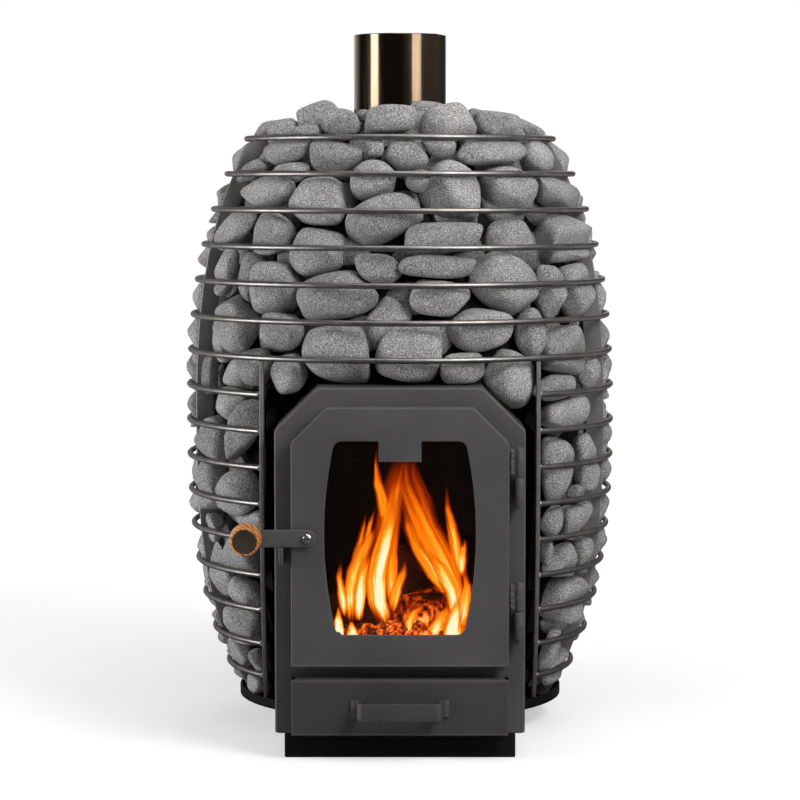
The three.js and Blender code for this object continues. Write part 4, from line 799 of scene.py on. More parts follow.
# Moves the smaller of two deeply overlapping stones inwards, then cuts both along the plane where they meet
def fit_together(stones):
    middles = np.array([stone.middle for stone in stones])
    sizes = np.array([max(stone.half) for stone in stones])
    pairs = []
    for first in range(len(stones)):
        gaps = np.linalg.norm(middles[first + 1:] - middles[first], axis=1)
        near = np.nonzero(gaps < sizes[first + 1:] + sizes[first])[0]
        pairs.extend([(stones[first], stones[first + 1 + other]) for other in near])
    for _ in range(4):
        for one, other in pairs:
            direction, gap, reaches = meeting(one, other)
            deep = reaches[0] + reaches[1] - gap - DEEPEST_CUT * min(reaches)
            if deep > 0:
                small = one if one.size() < other.size() else other
                small.middle = small.middle - 0.3 * deep * small.axes[2]
    for one, other in pairs:
        direction, gap, reaches = meeting(one, other)
        if reaches[0] + reaches[1] > gap - STONE_GAP:
            share = reaches[0] / (reaches[0] + reaches[1])
            one.cuts.append((direction, gap * share - STONE_GAP / 2))
            other.cuts.append((-direction, gap * (1 - share) - STONE_GAP / 2))


# Moves a stone that lies across a rib to the nearer side of it and cuts it along the rib
def clear_ribs(stones):
    for stone in stones:
        for angle in RIB_ANGLES:
            side = np.array((math.cos(angle), math.sin(angle), 0))
            spoke = np.array((math.sin(angle), -math.cos(angle), 0))
            apart = stone.middle @ side
            reach = stone.reach(side)
            if stone.middle @ spoke < 0 or abs(apart) > reach or stone.middle[2] > RING_HEIGHTS[0]:
                continue
            direction = side if apart > 0 else -side
            wanted = 0.22 * reach + RIB_CLEARANCE
            stone.middle = stone.middle + direction * max(wanted - abs(apart), 0)
            stone.cuts.append((-direction, abs(stone.middle @ side) - RIB_CLEARANCE))


# Direction from one stone to another in which they part, how far apart they are and how far each one reaches
def meeting(one, other):
    apart = other.middle - one.middle
    direction = np.linalg.solve(one.spread() + other.spread(), apart)
    direction /= np.linalg.norm(direction)
    return direction, apart @ direction, (one.reach(direction), other.reach(direction))


# Whether a stone there would reach into the firebox, the doorway or the flue
def blocked(place, size):
    x, y, z = place
    shell = box("firebox_shell")[1]
    beside = z < shell.z + size
    in_body = beside and abs(x) < shell.x + size and y < shell.y + size
    in_doorway = beside and abs(x) < BAR_OUTER + 0.4 * size and y < 0
    in_flue = math.hypot(x, y) < box("flue_collar")[1].x + 0.8 * size
    return in_body or in_doorway or in_flue


# A value between 0 and 1 that looks random but is the same each time
def chance(seed):
    value = math.sin(seed * 12.9898) * 43758.5453
    return value - math.floor(value)


# A stone of middling size on the heap, its shape set by a seed
def plain_stone(surface, seed):
    half_width = SMALL_HALF_WIDTH + HALF_WIDTH_SPREAD * chance(seed)
    half_height = SMALL_HALF_HEIGHT + HALF_HEIGHT_SPREAD * chance(seed + 0.3)
    return Stone(surface, outward(surface), half_width, half_height, LEAN_SPREAD * (chance(seed + 0.6) - 0.5))


# Courses of stones around the heap, from one edge of the front to the other
def course_stones(inset, front, first_seed):
    made = []
    bottom = box("stones_left")[0].z
    pitch = (RING_HEIGHTS[0] - bottom) / COURSES
    for course in range(COURSES):
        seed = first_seed + 40 * course
        turn = front + 0.2 * chance(seed)
        while turn < 2 * math.pi - front:
            seed += 1
            height = bottom + pitch * (course + 0.5 + COURSE_JITTER * (chance(seed + 0.8) - 0.5))
            radius = heap_radius(height) - inset
            stone = plain_stone(around(radius, turn, height), seed)
            turn += 1.9 * stone.half[0] / radius
            if not blocked(stone.middle, 0.4 * stone.size()):
                made.append(stone)
    return made


# Rings of stones on the dome or below its top, each with the half angle that it leaves open at the front
def dome_stones(rings, drop, first_seed):
    made = []
    for number, (radius, front) in enumerate(rings):
        share = radius / cage_radius(RING_HEIGHTS[0])
        height = RING_HEIGHTS[0] + HEAP_RISE * math.sqrt(1 - share ** 2) - drop
        seed = first_seed + 40 * number
        turn = front
        while turn < 2 * math.pi - front:
            seed += 1
            stone = plain_stone(around(radius, turn, height), seed)
            made.append(stone)
            turn += 1.9 * stone.half[0] / radius
    return made


# How far out stones may reach at given heights: behind the rods, bulging a little between them
def outer_limits(heights):
    pitch = RING_HEIGHTS[0] - RING_HEIGHTS[1]
    nearest = np.min(np.abs(heights[:, None] - np.array(RING_HEIGHTS)), axis=1)
    between = np.minimum(nearest / (0.5 * pitch), 1)
    share = np.minimum(np.abs(heights - BELLY_HEIGHT) / POLE_HEIGHT, 1)
    rods = BELLY_RADIUS * (1 - share ** CAGE_FULLNESS) ** (1 / CAGE_FULLNESS)
    limits = rods - STONE_INSET + STONE_BULGE * between ** 1.5
    return np.where(heights > RING_HEIGHTS[0], cage_radius(RING_HEIGHTS[0]) - STONE_INSET, limits)


# Flat sides of the body that stones lie against: the direction each one faces and its distance from the middle
@functools.lru_cache
def body_sides(half):
    shell = box("firebox_shell")[1]
    slope = math.sqrt(0.5)
    corner = slope * (shell.x + shell.z - BODY_CHAMFER)
    normals = np.array(((1, 0, 0), (-1, 0, 0), (0, 1, 0), (0, 0, 1), (slope, 0, slope), (-slope, 0, slope)))
    return normals, np.array((half, half, shell.y, shell.z, corner, corner))


# The side of the body, or of the bar beside the door, that a stone lies on
def resting_side(stone):
    beside_bar = stone.middle[1] < BAR_SHELTER
    normals, distances = body_sides(BAR_OUTER if beside_bar else box("firebox_shell")[1].x)
    side = np.argmax(normals @ stone.middle - distances)
    return normals[side], distances[side] + SEAT_GAP


# Stones that reach the body are worn flat there
def lean_on_body(stones):
    for stone in stones:
        normal, distance = resting_side(stone)
        gap = stone.middle @ normal - distance
        if gap < stone.reach(normal):
            stone.cuts.append((-normal, gap))


# Points of one stone: a block of rounded facets, flattened where it meets its neighbours
def stone_points(stone, directions):
    sides = np.concatenate([np.eye(3), -np.eye(3)])
    corners = np.array([(x, y, z) for x in (-1, 1) for y in (-1, 1) for z in (-1, 1)]) / math.sqrt(3)
    normals = np.concatenate([sides, corners])
    normals = normals + random.normal(scale=FACET_TILT, size=normals.shape)
    normals /= np.linalg.norm(normals, axis=1)[:, None]
    offsets = np.concatenate([random.uniform(0.86, 1.0, len(sides)), random.uniform(0.92, 1.22, len(corners))])
    sharpness = random.uniform(6, 11)
    pressed = np.maximum(directions @ normals.T, 0) / offsets
    block = directions * (np.sum(pressed ** sharpness, axis=1) ** (-1 / sharpness))[:, None]
    block /= np.max(np.abs(block), axis=0)
    lengths = np.linalg.norm(block, axis=1)
    unit = block / lengths[:, None]
    crush = lengths ** -sharpness
    for direction, distance in stone.cuts:
        local = stone.half * (stone.axes @ direction)
        cut = max(distance / np.linalg.norm(local), 0.12)
        local /= np.linalg.norm(local)
        crush += (np.maximum(unit @ local, 0) / cut) ** sharpness
    shape = unit * (crush ** (-1 / sharpness))[:, None]
    for length in (2.0, 3.6):
        wave = random.normal(size=3)
        wave *= length / np.linalg.norm(wave)
        shape *= 1 + 0.018 * np.sin(unit @ wave + random.uniform(0, 6.28))[:, None]
    points = stone.middle + (shape * stone.half) @ stone.axes
    reach = np.hypot(points[:, 0], points[:, 1])
    limit = outer_limits(points[:, 2])
    softness = 0.004
    excess = np.maximum(reach - limit + softness, 0)
    pulled = np.where(excess > 0, limit - softness + softness * (1 - np.exp(-excess / softness)), reach)
    points[:, :2] *= (pulled / np.maximum(reach, 1e-6))[:, None]
    points[:, 2] = np.maximum(points[:, 2], box("stones_left")[0].z)
    normal, distance = resting_side(stone)
    short = np.maximum(distance - points @ normal, 0)
    return points + short[:, None] * normal


# One piece made of many stones, each with a tone of its own
def stone_piece(name, stones, detail, finish, nodes):
    directions, faces = ball(detail)
    shapes = []
    tones = []
    for stone in stones:
        shapes.append((list(map(tuple, stone_points(stone, directions))), faces))
        tones.extend([stone.tone] * len(directions))
    made = piece(name, merged(*shapes), finish, "stove", nodes)
    tone = made.data.attributes.new("tone", "FLOAT", "POINT")
    tone.data.foreach_set("value", tones)
    return made


# Near-black sheet deep in the heap, painted shade that closes the view between the stones
def heap_shade_sheet():
    sides = 96
    steps = 40
    bottom = box("stones_left")[0].z
    top = RING_HEIGHTS[0] + HEAP_RISE - 0.024
    shell = box("firebox_shell")[1]
    flue = box("flue_collar")[1].x
    heights = np.linspace(bottom, top, steps)
    points = []
    faces = []
    for height in heights:
        radius = max(heap_radius(height + 0.02) - SHADE_SHEET_DEPTH, flue + 0.004)
        points.extend([around(radius, 2 * math.pi * side / sides, height) for side in range(sides)])
    for step in range(steps - 1):
        for side in range(sides):
            other = (side + 1) % sides
            corners = (step * sides + side, step * sides + other, (step + 1) * sides + other, (step + 1) * sides + side)
            middle = sum((points[corner] for corner in corners), Vector()) / 4
            beside_body = abs(middle.x) > shell.x + 0.012 or middle.y > shell.y + 0.02
            if middle.z > shell.z + 0.005 or beside_body:
                faces.append(corners)
    piece("stones_shade_sheet", (points, faces), DARK_AND_SHADE_PAINT, "stove")


def all_stones():
    seen = [crown_stone(*stone) for stone in CROWN_STONES]
    seen += [seen_stone(*stone) for stone in UPPER_STONES + MIDDLE_STONES + SIDE_STONES]
    rest = course_stones(-STONE_STAND, SEEN_FRONT, 0) + dome_stones(DOME_RINGS, 0, 900)
    inner = course_stones(INNER_LAYER, 0, 2000)
    clear_ribs(seen + rest)
    fit_together(seen + rest)
    fit_together(inner)
    lean_on_body(seen + rest + inner)
    roof = box("stones_top")[0].z
    groups = {}
    for layer, stones in (("outer", seen + rest), ("inner", inner)):
        for stone in stones:
            side = "left" if stone.middle[0] < 0 else "right"
            node = "stones_top" if stone.middle[2] > roof else f"stones_{side}"
            band = int((stone.middle[2] - 0.03) / 0.13) if layer == "outer" else 0
            groups.setdefault((layer, side, band, node), []).append(stone)
    for (layer, side, band, node), stones in sorted(groups.items()):
        name = f"{layer}_{node}_{side}_{band}"
        # Inner stones take the darker stone, painted shade
        detail, finish = (4, STONE) if layer == "outer" else (3, SHADED_INNER_STONE)
        stone_piece(name, stones, detail, finish, [node])
    heap_shade_sheet()


# Stones below the top ones, seen between them from above
def crown_fill():
    stones = dome_stones(FILL_RINGS, FILL_DROP, 3000)
    fit_together(stones)
    stone_piece("inner_stones_crown", stones, 3, SHADED_INNER_STONE, ["stones_top"])


# Firebox and flue

# Outline with two cut-off upper corners, in X and Z
def arch(half, bottom, top, chamfer):
    return [(-half, bottom), (half, bottom), (half, top - chamfer), (half - chamfer, top),
            (chamfer - half, top), (-half, top - chamfer)]


def inner_chamfer(chamfer, margin):
    return chamfer - margin * (2 - math.sqrt(2))


# An outline with each corner rounded by a few points
def rounded(outline, radius, steps=5):
    result = []
    count = len(outline)
    for index, corner in enumerate(outline):
        corner = Vector(corner)
        before = Vector(outline[index - 1]) - corner
        after = Vector(outline[(index + 1) % count]) - corner
        reach = min(radius, 0.45 * before.length, 0.45 * after.length)
        start = corner + before.normalized() * reach
        end = corner + after.normalized() * reach
        for step in range(steps + 1):
            share = step / steps
            point = start.lerp(corner, share).lerp(corner.lerp(end, share), share)
            result.append((point.x, point.y))
    return result


BODY_LOW, BODY_HIGH = box("front_frame")
DOOR_LOW, DOOR_HIGH = box("door_panel")
DOOR_CHAMFER = 0.041
DOOR_OVERLAP = 0.018
COLLAR_PLATE = 0.004


def rectangle(half, low, high):
    return [(-half, low), (half, low), (half, high), (-half, high)]


def door_arch(margin, corner=0.003):
    outline = arch(DOOR_HIGH.x - margin, DOOR_LOW.z + margin, DOOR_HIGH.z - margin, inner_chamfer(DOOR_CHAMFER, margin))
    return rounded(outline, corner)


def front_frame():
    plate_depth = 0.005
    face = BODY_HIGH.y - plate_depth
    pan = box("ash_pan")[1]
    mouth = door_arch(DOOR_OVERLAP)
    pan_mouth = rounded(rectangle(pan.x + 0.004, BODY_LOW.z + plate_depth, pan.z + 0.005), 0.003)
    outline = rounded(arch(BODY_HIGH.x, BODY_LOW.z, BODY_HIGH.z, BODY_CHAMFER), 0.005)
    front = facing([outline, mouth, pan_mouth], face, plate_depth, 0.0022, 4)
    reach = BODY_LOW.y
    collar = facing([door_arch(DOOR_OVERLAP - COLLAR_PLATE), mouth], reach, face - reach, THIN_EDGE)
    piece("frame_face", merged(front, collar), PAINT, "stove", ["front_frame"])


def flue():
    low, high = box("flue_pipe")
    radius = high.x
    wall = 0.002
    bead = 0.0008
    profile = [(radius - wall, low.z), (radius, low.z), (radius, high.z - bead), (radius - bead, high.z),
               (radius - wall + bead, high.z), (radius - wall, high.z - bead), (radius - wall, low.z)]
    piece("flue", lathe(profile, 128), FLUE_STEEL, "stove", ["flue_pipe"])


def kept_body_nodes():
    for name in ("firebox_shell", "rear_plate"):
        keep_node(name, BODY_STEEL)
    keep_node("flue_collar", PAINT)
    for name in ("hearth_plate", "smoke_baffle"):
        keep_node(name, SOOT_PAINT)
    keep_node("grate", CAST_IRON, 0.0015)
    # The plinth's near-black is partly painted shade under the drawer
    keep_node("plinth", DARK_AND_SHADE_PAINT, 0.0015)
    keep_node("ash_pan", DARK_AND_SHADE_PAINT, 0.0006)
    keep_node("glass_gasket", GASKET, 0.0006)
    for side in ("left", "right"):
        keep_node(f"glass_clip_{side}", DARK_AND_SHADE_PAINT, 0.0005)
    for place in ("upper", "lower"):
        keep_node(f"hinge_{place}_pin", BRIGHT_STEEL, 0.0004)


# Fire

# A split log lying along X, its ends and bark uneven
def log_shape(length, width, height, seed):
    profile = [(-0.5, 0), (0.0, -0.02), (0.5, 0), (0.52, 0.22), (0.475, 0.4), (0.40, 0.64), (0.275, 0.85),
               (0.10, 0.96), (-0.05, 1.0), (-0.20, 0.93), (-0.35, 0.75), (-0.44, 0.45), (-0.49, 0.2)]
    section = rounded(profile, 0.1, 3)
    steps = 48
    points = []
    faces = []
    count = len(section)
    for step in range(steps + 1):
        along = (step / steps - 0.5) * length
        for index, (across, up) in enumerate(section):
            ripple = math.sin(along * 90 + seed + index * 0.7) + math.sin(along * 230 + seed * 2 + index * 1.9)
            scale = 0.97 + 0.012 * ripple
            points.append(Vector((along, across * width * scale, max(up * height * scale, 0.0))))
    for step in range(steps):
        for index in range(count):
            other = (index + 1) % count
            start = step * count
            faces.append((start + index, start + other, start + count + other, start + count + index))
    faces.append(tuple(range(count - 1, -1, -1)))
    faces.append(tuple(range(steps * count, (steps + 1) * count)))
    return points, faces


def logs():
    length, width, height = 0.203, 0.069, 0.0565
    turn = Matrix.Rotation(math.radians(62), 4, "Z")
    for seed, (place, angle) in enumerate((("front", None), ("rear", None), ("top", turn))):
        low, high = box(f"log_{place}")
        middle = (low + high) / 2
        shape = log_shape(length, width, height, seed)
        if angle is not None:
            shape = moved(shape, angle)
        shape = shifted(shape, (middle.x, middle.y, low.z + SEAT_GAP))
        piece(f"firewood_{place}", shape, CHARRED, "stove", [f"log_{place}"])


# Small coals heaped on the grate around the logs
def ember_bed():
    directions, faces = ball(2)
    top = box("grate")[1].z
    shapes = []
    tones = []
    for _ in range(1100):
        size = random.uniform(0.0022, 0.0058)
        x = random.uniform(-0.112, 0.112)
        y = random.uniform(-0.238, 0.02)
        lift = random.uniform(0.0, 0.016) * (1 - abs(x) / 0.14) + 0.011 * math.exp(-((y + 0.212) / 0.03) ** 2)
        lumps = 1 + 0.22 * np.sin(directions @ random.normal(size=(3, 2)) * 2 + random.uniform(0, 6)).sum(axis=1)
        middle = np.array((x, y, top + 0.7 * size + lift))
        points = middle + directions * lumps[:, None] * size * random.uniform(0.7, 1.2, size=3)
        points[:, 2] = np.maximum(points[:, 2], top + SEAT_GAP)
        shapes.append((list(map(tuple, points)), faces))
        tones.extend([random.uniform() * (0.7 + 3.0 * x)] * len(directions))
    made = piece("embers", merged(*shapes), EMBERS, "stove")
    made.data.attributes.new("tone", "FLOAT", "POINT").data.foreach_set("value", tones)


# Flames in the photograph: distance in front of the axis, vigour, then column, row and half width of points up each one
FLAME_LINES = [
    (0.206, 0.95, [(386, 624, 8), (379, 602, 12), (378, 580, 14), (382, 558, 15), (388, 532, 13), (393, 508, 12),
                   (398, 486, 10), (403, 466, 9), (406, 448, 5)]),
    (0.216, 1.85, [(389, 622, 6), (381, 602, 8), (380, 578, 9), (385, 552, 9), (390, 524, 8), (395, 490, 4)]),
    (0.211, 0.90, [(395, 612, 5), (392, 584, 7), (393, 556, 7), (396, 530, 6), (399, 500, 3)]),
    (0.208, 0.88, [(454, 645, 11), (458, 612, 12), (452, 584, 13), (441, 558, 17), (428, 532, 19), (416, 506, 16),
                   (409, 484, 13), (406, 466, 11), (405, 446, 6)]),
    (0.218, 1.70, [(454, 645, 9), (457, 616, 8), (451, 590, 8), (440, 566, 9), (427, 548, 5)]),
    (0.203, 0.85, [(450, 596, 7), (433, 571, 10), (418, 548, 10), (409, 522, 9), (402, 494, 4)]),
    (0.214, 1.00, [(353, 622, 7), (353, 598, 10), (357, 572, 11), (366, 548, 9), (374, 533, 4), (378, 524, 1)]),
    (0.222, 1.55, [(360, 620, 5), (361, 598, 7), (364, 574, 7), (370, 550, 3)]),
    (0.212, 0.85, [(350, 606, 5), (354, 578, 6), (360, 550, 6), (365, 527, 4), (368, 511, 1)]),
    (0.210, 0.80, [(363, 564, 5), (367, 542, 5), (372, 522, 3), (377, 506, 1)]),
    (0.224, 1.05, [(347, 616, 4), (344, 596, 6), (341, 577, 4), (343, 561, 1)]),
    (0.207, 0.80, [(394, 536, 9), (385, 507, 8), (379, 484, 6), (377, 463, 3), (378, 446, 1)]),
    (0.204, 0.90, [(461, 586, 8), (456, 554, 9), (451, 526, 7), (447, 506, 4), (445, 484, 1)]),
    (0.206, 0.95, [(459, 576, 6), (460, 559, 7), (463, 547, 4), (464, 538, 1)]),
    (0.220, 1.10, [(459, 628, 8), (464, 602, 8), (466, 585, 5), (463, 566, 1)]),
    (0.226, 0.95, [(392, 612, 5), (397, 590, 7), (403, 574, 6), (406, 558, 1)]),
    (0.228, 2.00, [(342, 648, 5), (341, 630, 6), (340, 617, 4), (340, 605, 1)]),
    (0.230, 2.00, [(357, 648, 9), (354, 634, 7), (352, 620, 2)]),
    (0.225, 1.10, [(408, 640, 4), (409, 622, 5), (415, 612, 6), (425, 606, 3)]),
    (0.232, 2.10, [(452, 650, 12), (452, 632, 11), (455, 614, 8), (458, 596, 2)]),
    (0.221, 1.10, [(430, 640, 9), (438, 624, 9), (445, 612, 6), (447, 602, 1)]),
    (0.198, 0.50, [(426, 566, 12), (428, 532, 14), (422, 500, 12), (414, 474, 8), (411, 452, 3)]),
    (0.197, 0.45, [(380, 562, 9), (383, 532, 11), (388, 500, 10), (394, 472, 7), (398, 450, 3)]),
]


# Place on an upright plane in the firebox that shows at a place in the photograph
def in_fire(column, row, forward):
    line = sight_line(column, row)
    return CAMERA_PLACE + line * ((-forward - CAMERA_PLACE.y) / line.y)


# A smooth run of values through given ones
def smooth_run(values, count):
    places = np.linspace(0, len(values) - 1, count)
    first = np.clip(places.astype(int), 0, len(values) - 2)
    share = places - first
    share = share * share * (3 - 2 * share) * 0.5 + share * 0.5
    values = np.array(values, float)
    return values[first] + (values[first + 1] - values[first]) * share


# One flame as a bowed sheet, with how far each point is across and along it
def flame_sheet(forward, line):
    steps = 40
    strips = 14
    columns, rows, widths = (smooth_run([point[axis] for point in line], steps) for axis in range(3))
    points = []
    faces = []
    across = []
    along = []
    for step in range(steps):
        middle = in_fire(columns[step], rows[step], forward)
        following = in_fire(columns[min(step + 1, steps - 1)], rows[min(step + 1, steps - 1)], forward)
        previous = in_fire(columns[max(step - 1, 0)], rows[max(step - 1, 0)], forward)
        climb = (following - previous).normalized()
        side = Vector((climb.z, 0, -climb.x))
        half = widths[step] * (middle - CAMERA_PLACE).length / FOCAL_PIXELS
        for strip in range(strips + 1):
            share = 2 * strip / strips - 1
            bow = half * 0.8 * (1 - share ** 2)
            points.append(middle + side * half * share - Vector((0, bow, 0)))
            across.append(share)
            along.append(step / (steps - 1))
    for step in range(steps - 1):
        for strip in range(strips):
            start = step * (strips + 1) + strip
            faces.append((start, start + 1, start + strips + 2, start + strips + 1))
    return (points, faces), across, along


def flames():
    for number, (forward, vigour, line) in enumerate(FLAME_LINES):
        shape, across, along = flame_sheet(forward, line)
        made = piece(f"flame_{number + 1:02d}", shape, FLAMES, "stove")
        values = {"across": across, "along": along, "start": [3.7 * number] * len(along), "vigour": [vigour] * len(along)}
        for name, value in values.items():
            made.data.attributes.new(name, "FLOAT", "POINT").data.foreach_set("value", value)


# Door

WINDOW_TOP_MARGIN = 0.0388
WINDOW_BOTTOM_MARGIN = 0.0377
WINDOW_TOP_HALF = 0.0755
WINDOW_BOTTOM_HALF = 0.0735
WINDOW_BOW = 0.013
WINDOW_CORNER = 0.009
TAB_HALF = 0.02475
TAB_DROP = 0.0235


# Window outline with bowed sides and a square tab hanging from its upper edge
def window_outline():
    bottom = DOOR_LOW.z + WINDOW_BOTTOM_MARGIN
    top = DOOR_HIGH.z - WINDOW_TOP_MARGIN
    steps = 24
    side = []
    for step in range(steps + 1):
        share = step / steps
        straight = WINDOW_BOTTOM_HALF + (WINDOW_TOP_HALF - WINDOW_BOTTOM_HALF) * share
        side.append((straight + 4 * WINDOW_BOW * share * (1 - share), bottom + (top - bottom) * share))
    middle = side[1:-1]
    corner = rounded_corner(side[1], side[0], (0, bottom), WINDOW_CORNER)
    upper = rounded_corner(side[-2], side[-1], (0, top), WINDOW_CORNER)
    middle = [point for point in middle if bottom + WINDOW_CORNER < point[1] < top - WINDOW_CORNER]
    half = corner[::-1] + middle + upper
    tab = [(TAB_HALF, top), (TAB_HALF, top - TAB_DROP)]
    right = half + tab
    left = [(-x, z) for x, z in reversed(right)]
    return right + left


# Points of a rounded corner, from the first neighbour to the second
def rounded_corner(before, corner, after, radius, steps=7):
    corner = Vector(corner)
    start = corner + (Vector(before) - corner).normalized() * radius
    end = corner + (Vector(after) - corner).normalized() * radius
    result = []
    for step in range(steps + 1):
        share = step / steps
        point = start.lerp(corner, share).lerp(corner.lerp(end, share), share)
        result.append((point.x, point.y))
    return result


def door_panel():
    face = facing([door_arch(0), window_outline()], DOOR_LOW.y, SHEET, PAINT_EDGE, 4)
    wall_front = DOOR_LOW.y + PAINT_EDGE
    wall = facing([door_arch(0), door_arch(SHEET)], wall_front, DOOR_HIGH.y - wall_front, THIN_EDGE)
    piece("door_skin", merged(face, wall), PAINT, "door", ["door_panel"])


def door_glass():
    low, high = box("door_glass")
    outline = rounded(arch(high.x, low.z, high.z, 0.016), 0.002)
    piece("glass_pane", facing([outline], low.y, high.y - low.y, 0.0004, 2), GLASS, "door",
          ["door_glass"])


# Sealing rope laid in the door's channel, as a round braid along the arch
def door_rope():
    low, high = box("door_rope_seal")
    radius = (high.y - low.y) / 2
    margin = high.x - radius
    outline = door_arch(DOOR_HIGH.x - margin, 0.012)
    path = [(x, (low.y + high.y) / 2, z) for x, z in outline]
    piece("rope_seal", rod(path, radius * 0.98, 14, True), ROPE, "door", ["door_rope_seal"])


# Profile of a hinge barrel with rounded ends
def barrel_profile(radius, bottom, top):
    rim = 0.0018
    return [(0, bottom), (radius - rim, bottom), (radius - rim / 3, bottom + rim / 3), (radius, bottom + rim),
            (radius, top - rim), (radius - rim / 3, top - rim / 3), (radius - rim, top), (0, top)]


def hinges():
    leaf_half = 0.003
    radius = 0.0055
    for place in ("upper", "lower"):
        low, high = box(f"hinge_{place}_door_knuckle")
        axis = Vector((high.x - radius, (low.y + high.y) / 2, 0))
        barrel = shifted(lathe(barrel_profile(radius, low.z, high.z), 32), axis)
        leaf = lying([[(low.x, axis.y - leaf_half), (axis.x, axis.y - leaf_half), (axis.x, axis.y + leaf_half),
                       (low.x, axis.y + leaf_half)]], low.z + 0.002, high.z - low.z - 0.004, THIN_EDGE)
        bead = weld_bead((low.x + 0.0026, axis.y - leaf_half - 0.0005, low.z + 0.004),
                         (low.x + 0.0026, axis.y - leaf_half - 0.0005, high.z - 0.004), 0.0024, 11)
        piece(f"knuckle_{place}_door", merged(barrel, leaf, bead), SHADED_PAINT, "door",
              [f"hinge_{place}_door_knuckle"])
        low, high = box(f"hinge_{place}_frame_knuckle")
        axis = Vector(((low.x + high.x) / 2, low.y + radius, 0))
        barrel = shifted(lathe(barrel_profile(radius, low.z, high.z), 32), axis)
        foot = lying([[(axis.x - leaf_half, axis.y), (axis.x + leaf_half, axis.y), (axis.x + leaf_half, high.y),
                       (axis.x - leaf_half, high.y)]], low.z + 0.002, high.z - low.z - 0.004, THIN_EDGE)
        beads = [weld_bead((axis.x + side * 0.004, high.y - 0.0022, low.z + 0.004),
                           (axis.x + side * 0.004, high.y - 0.0022, high.z - 0.004), 0.002, 11) for side in (-1, 1)]
        stub = shifted(lathe([(0, low.z - 0.003), (0.003, low.z - 0.0026), (0.0042, low.z - 0.0014),
                              (0.0042, low.z), (0, low.z)], 24), axis)
        piece(f"knuckle_{place}_frame", merged(barrel, foot, stub, *beads), SHADED_PAINT, "stove",
              [f"hinge_{place}_frame_knuckle"])


# Latch

def latch_lever():
    low, high = box("latch_lever")
    radius = (high.z - low.z) / 2
    middle = (high.z + low.z) / 2
    right = [(high.x - radius + radius * math.cos(turn), middle + radius * math.sin(turn))
             for turn in np.linspace(-math.pi / 2, math.pi / 2, 17)]
    left = [(low.x + radius + radius * math.cos(turn), middle + radius * math.sin(turn))
            for turn in np.linspace(math.pi / 2, 3 * math.pi / 2, 17)]
    piece("lever", facing([right + left], low.y, high.y - low.y, 0.0009, 4), PAINT, "latch",
          ["latch_lever"])


# A pan-head screw with a cross recess
def latch_screw():
    low, high = box("latch_pivot_screw")
    middle = (low + high) / 2
    radius = (high.x - low.x) / 2
    head = 0.0045
    shank = 0.003
    dome = [(radius * math.cos(turn), head * (0.25 + 0.75 * math.sin(turn))) for turn in np.linspace(0, math.pi / 2, 9)]
    profile = [(0, high.y * 0 - (high.y - low.y) + head), (shank, -(high.y - low.y) + head), (shank, 0), (radius, 0)]
    body = lathe_forward(profile + dome, (middle.x, low.y + head, middle.z), 48)
    screw = piece("screw", body, BRIGHT_STEEL, "door", ["latch_pivot_screw"])
    arm = 0.0034
    width = 0.0009
    depth = 0.0024
    arms = []
    for turn in (math.radians(45), math.radians(135)):
        bar = facing([rectangle(arm, -width, width)], 0, 2 * depth, 0.0002)
        arms.append(moved(bar, Matrix.Translation((middle.x, low.y - depth, middle.z)) @ Matrix.Rotation(turn, 4, "Y")))
    carve(screw, arms)


# Cuts shapes out of a piece
def carve(made, shapes):
    for shape in shapes:
        points, faces = shape
        mesh = bpy.data.meshes.new("cutter")
        mesh.from_pydata([tuple(point) for point in points], [], faces)
        cutter = bpy.data.objects.new("cutter", mesh)
        bpy.context.collection.objects.link(cutter)
        cut = made.modifiers.new("cut", "BOOLEAN")
        cut.operation = "DIFFERENCE"
        cut.object = cutter
        bpy.context.view_layer.update()
        result = bpy.data.meshes.new_from_object(made.evaluated_get(bpy.context.evaluated_depsgraph_get()))
        made.modifiers.remove(cut)
        made.data = result
        bpy.data.objects.remove(cutter)
    made.data.set_sharp_from_angle(angle=SMOOTH_ANGLE)


# A turned wooden knob with a bare metal disc set in its face
def latch_knob():
    low, high = box("latch_knob")
    place = ((low.x + high.x) / 2, high.y, (low.z + high.z) / 2)
    length = high.y - low.y
    radius = (high.x - low.x) / 2
    neck = 0.013
    recess = 0.01405
    floor = length - 0.003
    bulge = [(neck, 0), (radius - 0.0012, 0), (radius, 0.03 * length), (radius + 0.0006, 0.12 * length),
             (radius + 0.0004, 0.30 * length), (radius - 0.0002, 0.55 * length), (radius - 0.0008, 0.80 * length),
             (radius - 0.0016, 0.94 * length), (radius - 0.0026, length), (recess + 0.0003, length),
             (recess, length - 0.0004), (recess, floor), (0, floor)]
    piece("knob", lathe_forward([(0, 0)] + bulge, place, 64), KNOB_WOOD, "latch", ["latch_knob"])
    low, high = box("knob_disc")
    disc = (high.x - low.x) / 2
    thick = high.y - low.y
    profile = [(0, 0), (disc, 0), (disc, thick - 0.0005), (disc - 0.0005, thick), (disc - 0.0016, thick),
               (disc - 0.0020, thick - 0.0005), (0.0055, thick - 0.0005), (0, thick - 0.0004)]
    piece("disc", lathe_forward(profile, (place[0], high.y, place[2]), 64), DISC_BRONZE, "latch",
          ["knob_disc"])


def latch_keeper():
    low, high = box("latch_keeper")
    outline = rounded([(low.y, low.z), (high.y, low.z), (high.y, high.z), (low.y, high.z)], 0.004)
    turn = Matrix(((0, 0, 1, low.x), (1, 0, 0, 0), (0, 1, 0, 0), (0, 0, 0, 1)))
    blade = moved(plate([outline], high.x - low.x, THIN_EDGE), turn)
    bead = weld_bead((low.x - 0.0006, high.y - 0.001, low.z + 0.002), (low.x - 0.0006, high.y - 0.001, high.z - 0.002),
                     0.0019, 8)
    piece("keeper", merged(blade, bead), SHADED_PAINT, "stove", ["latch_keeper"])


# Drawer

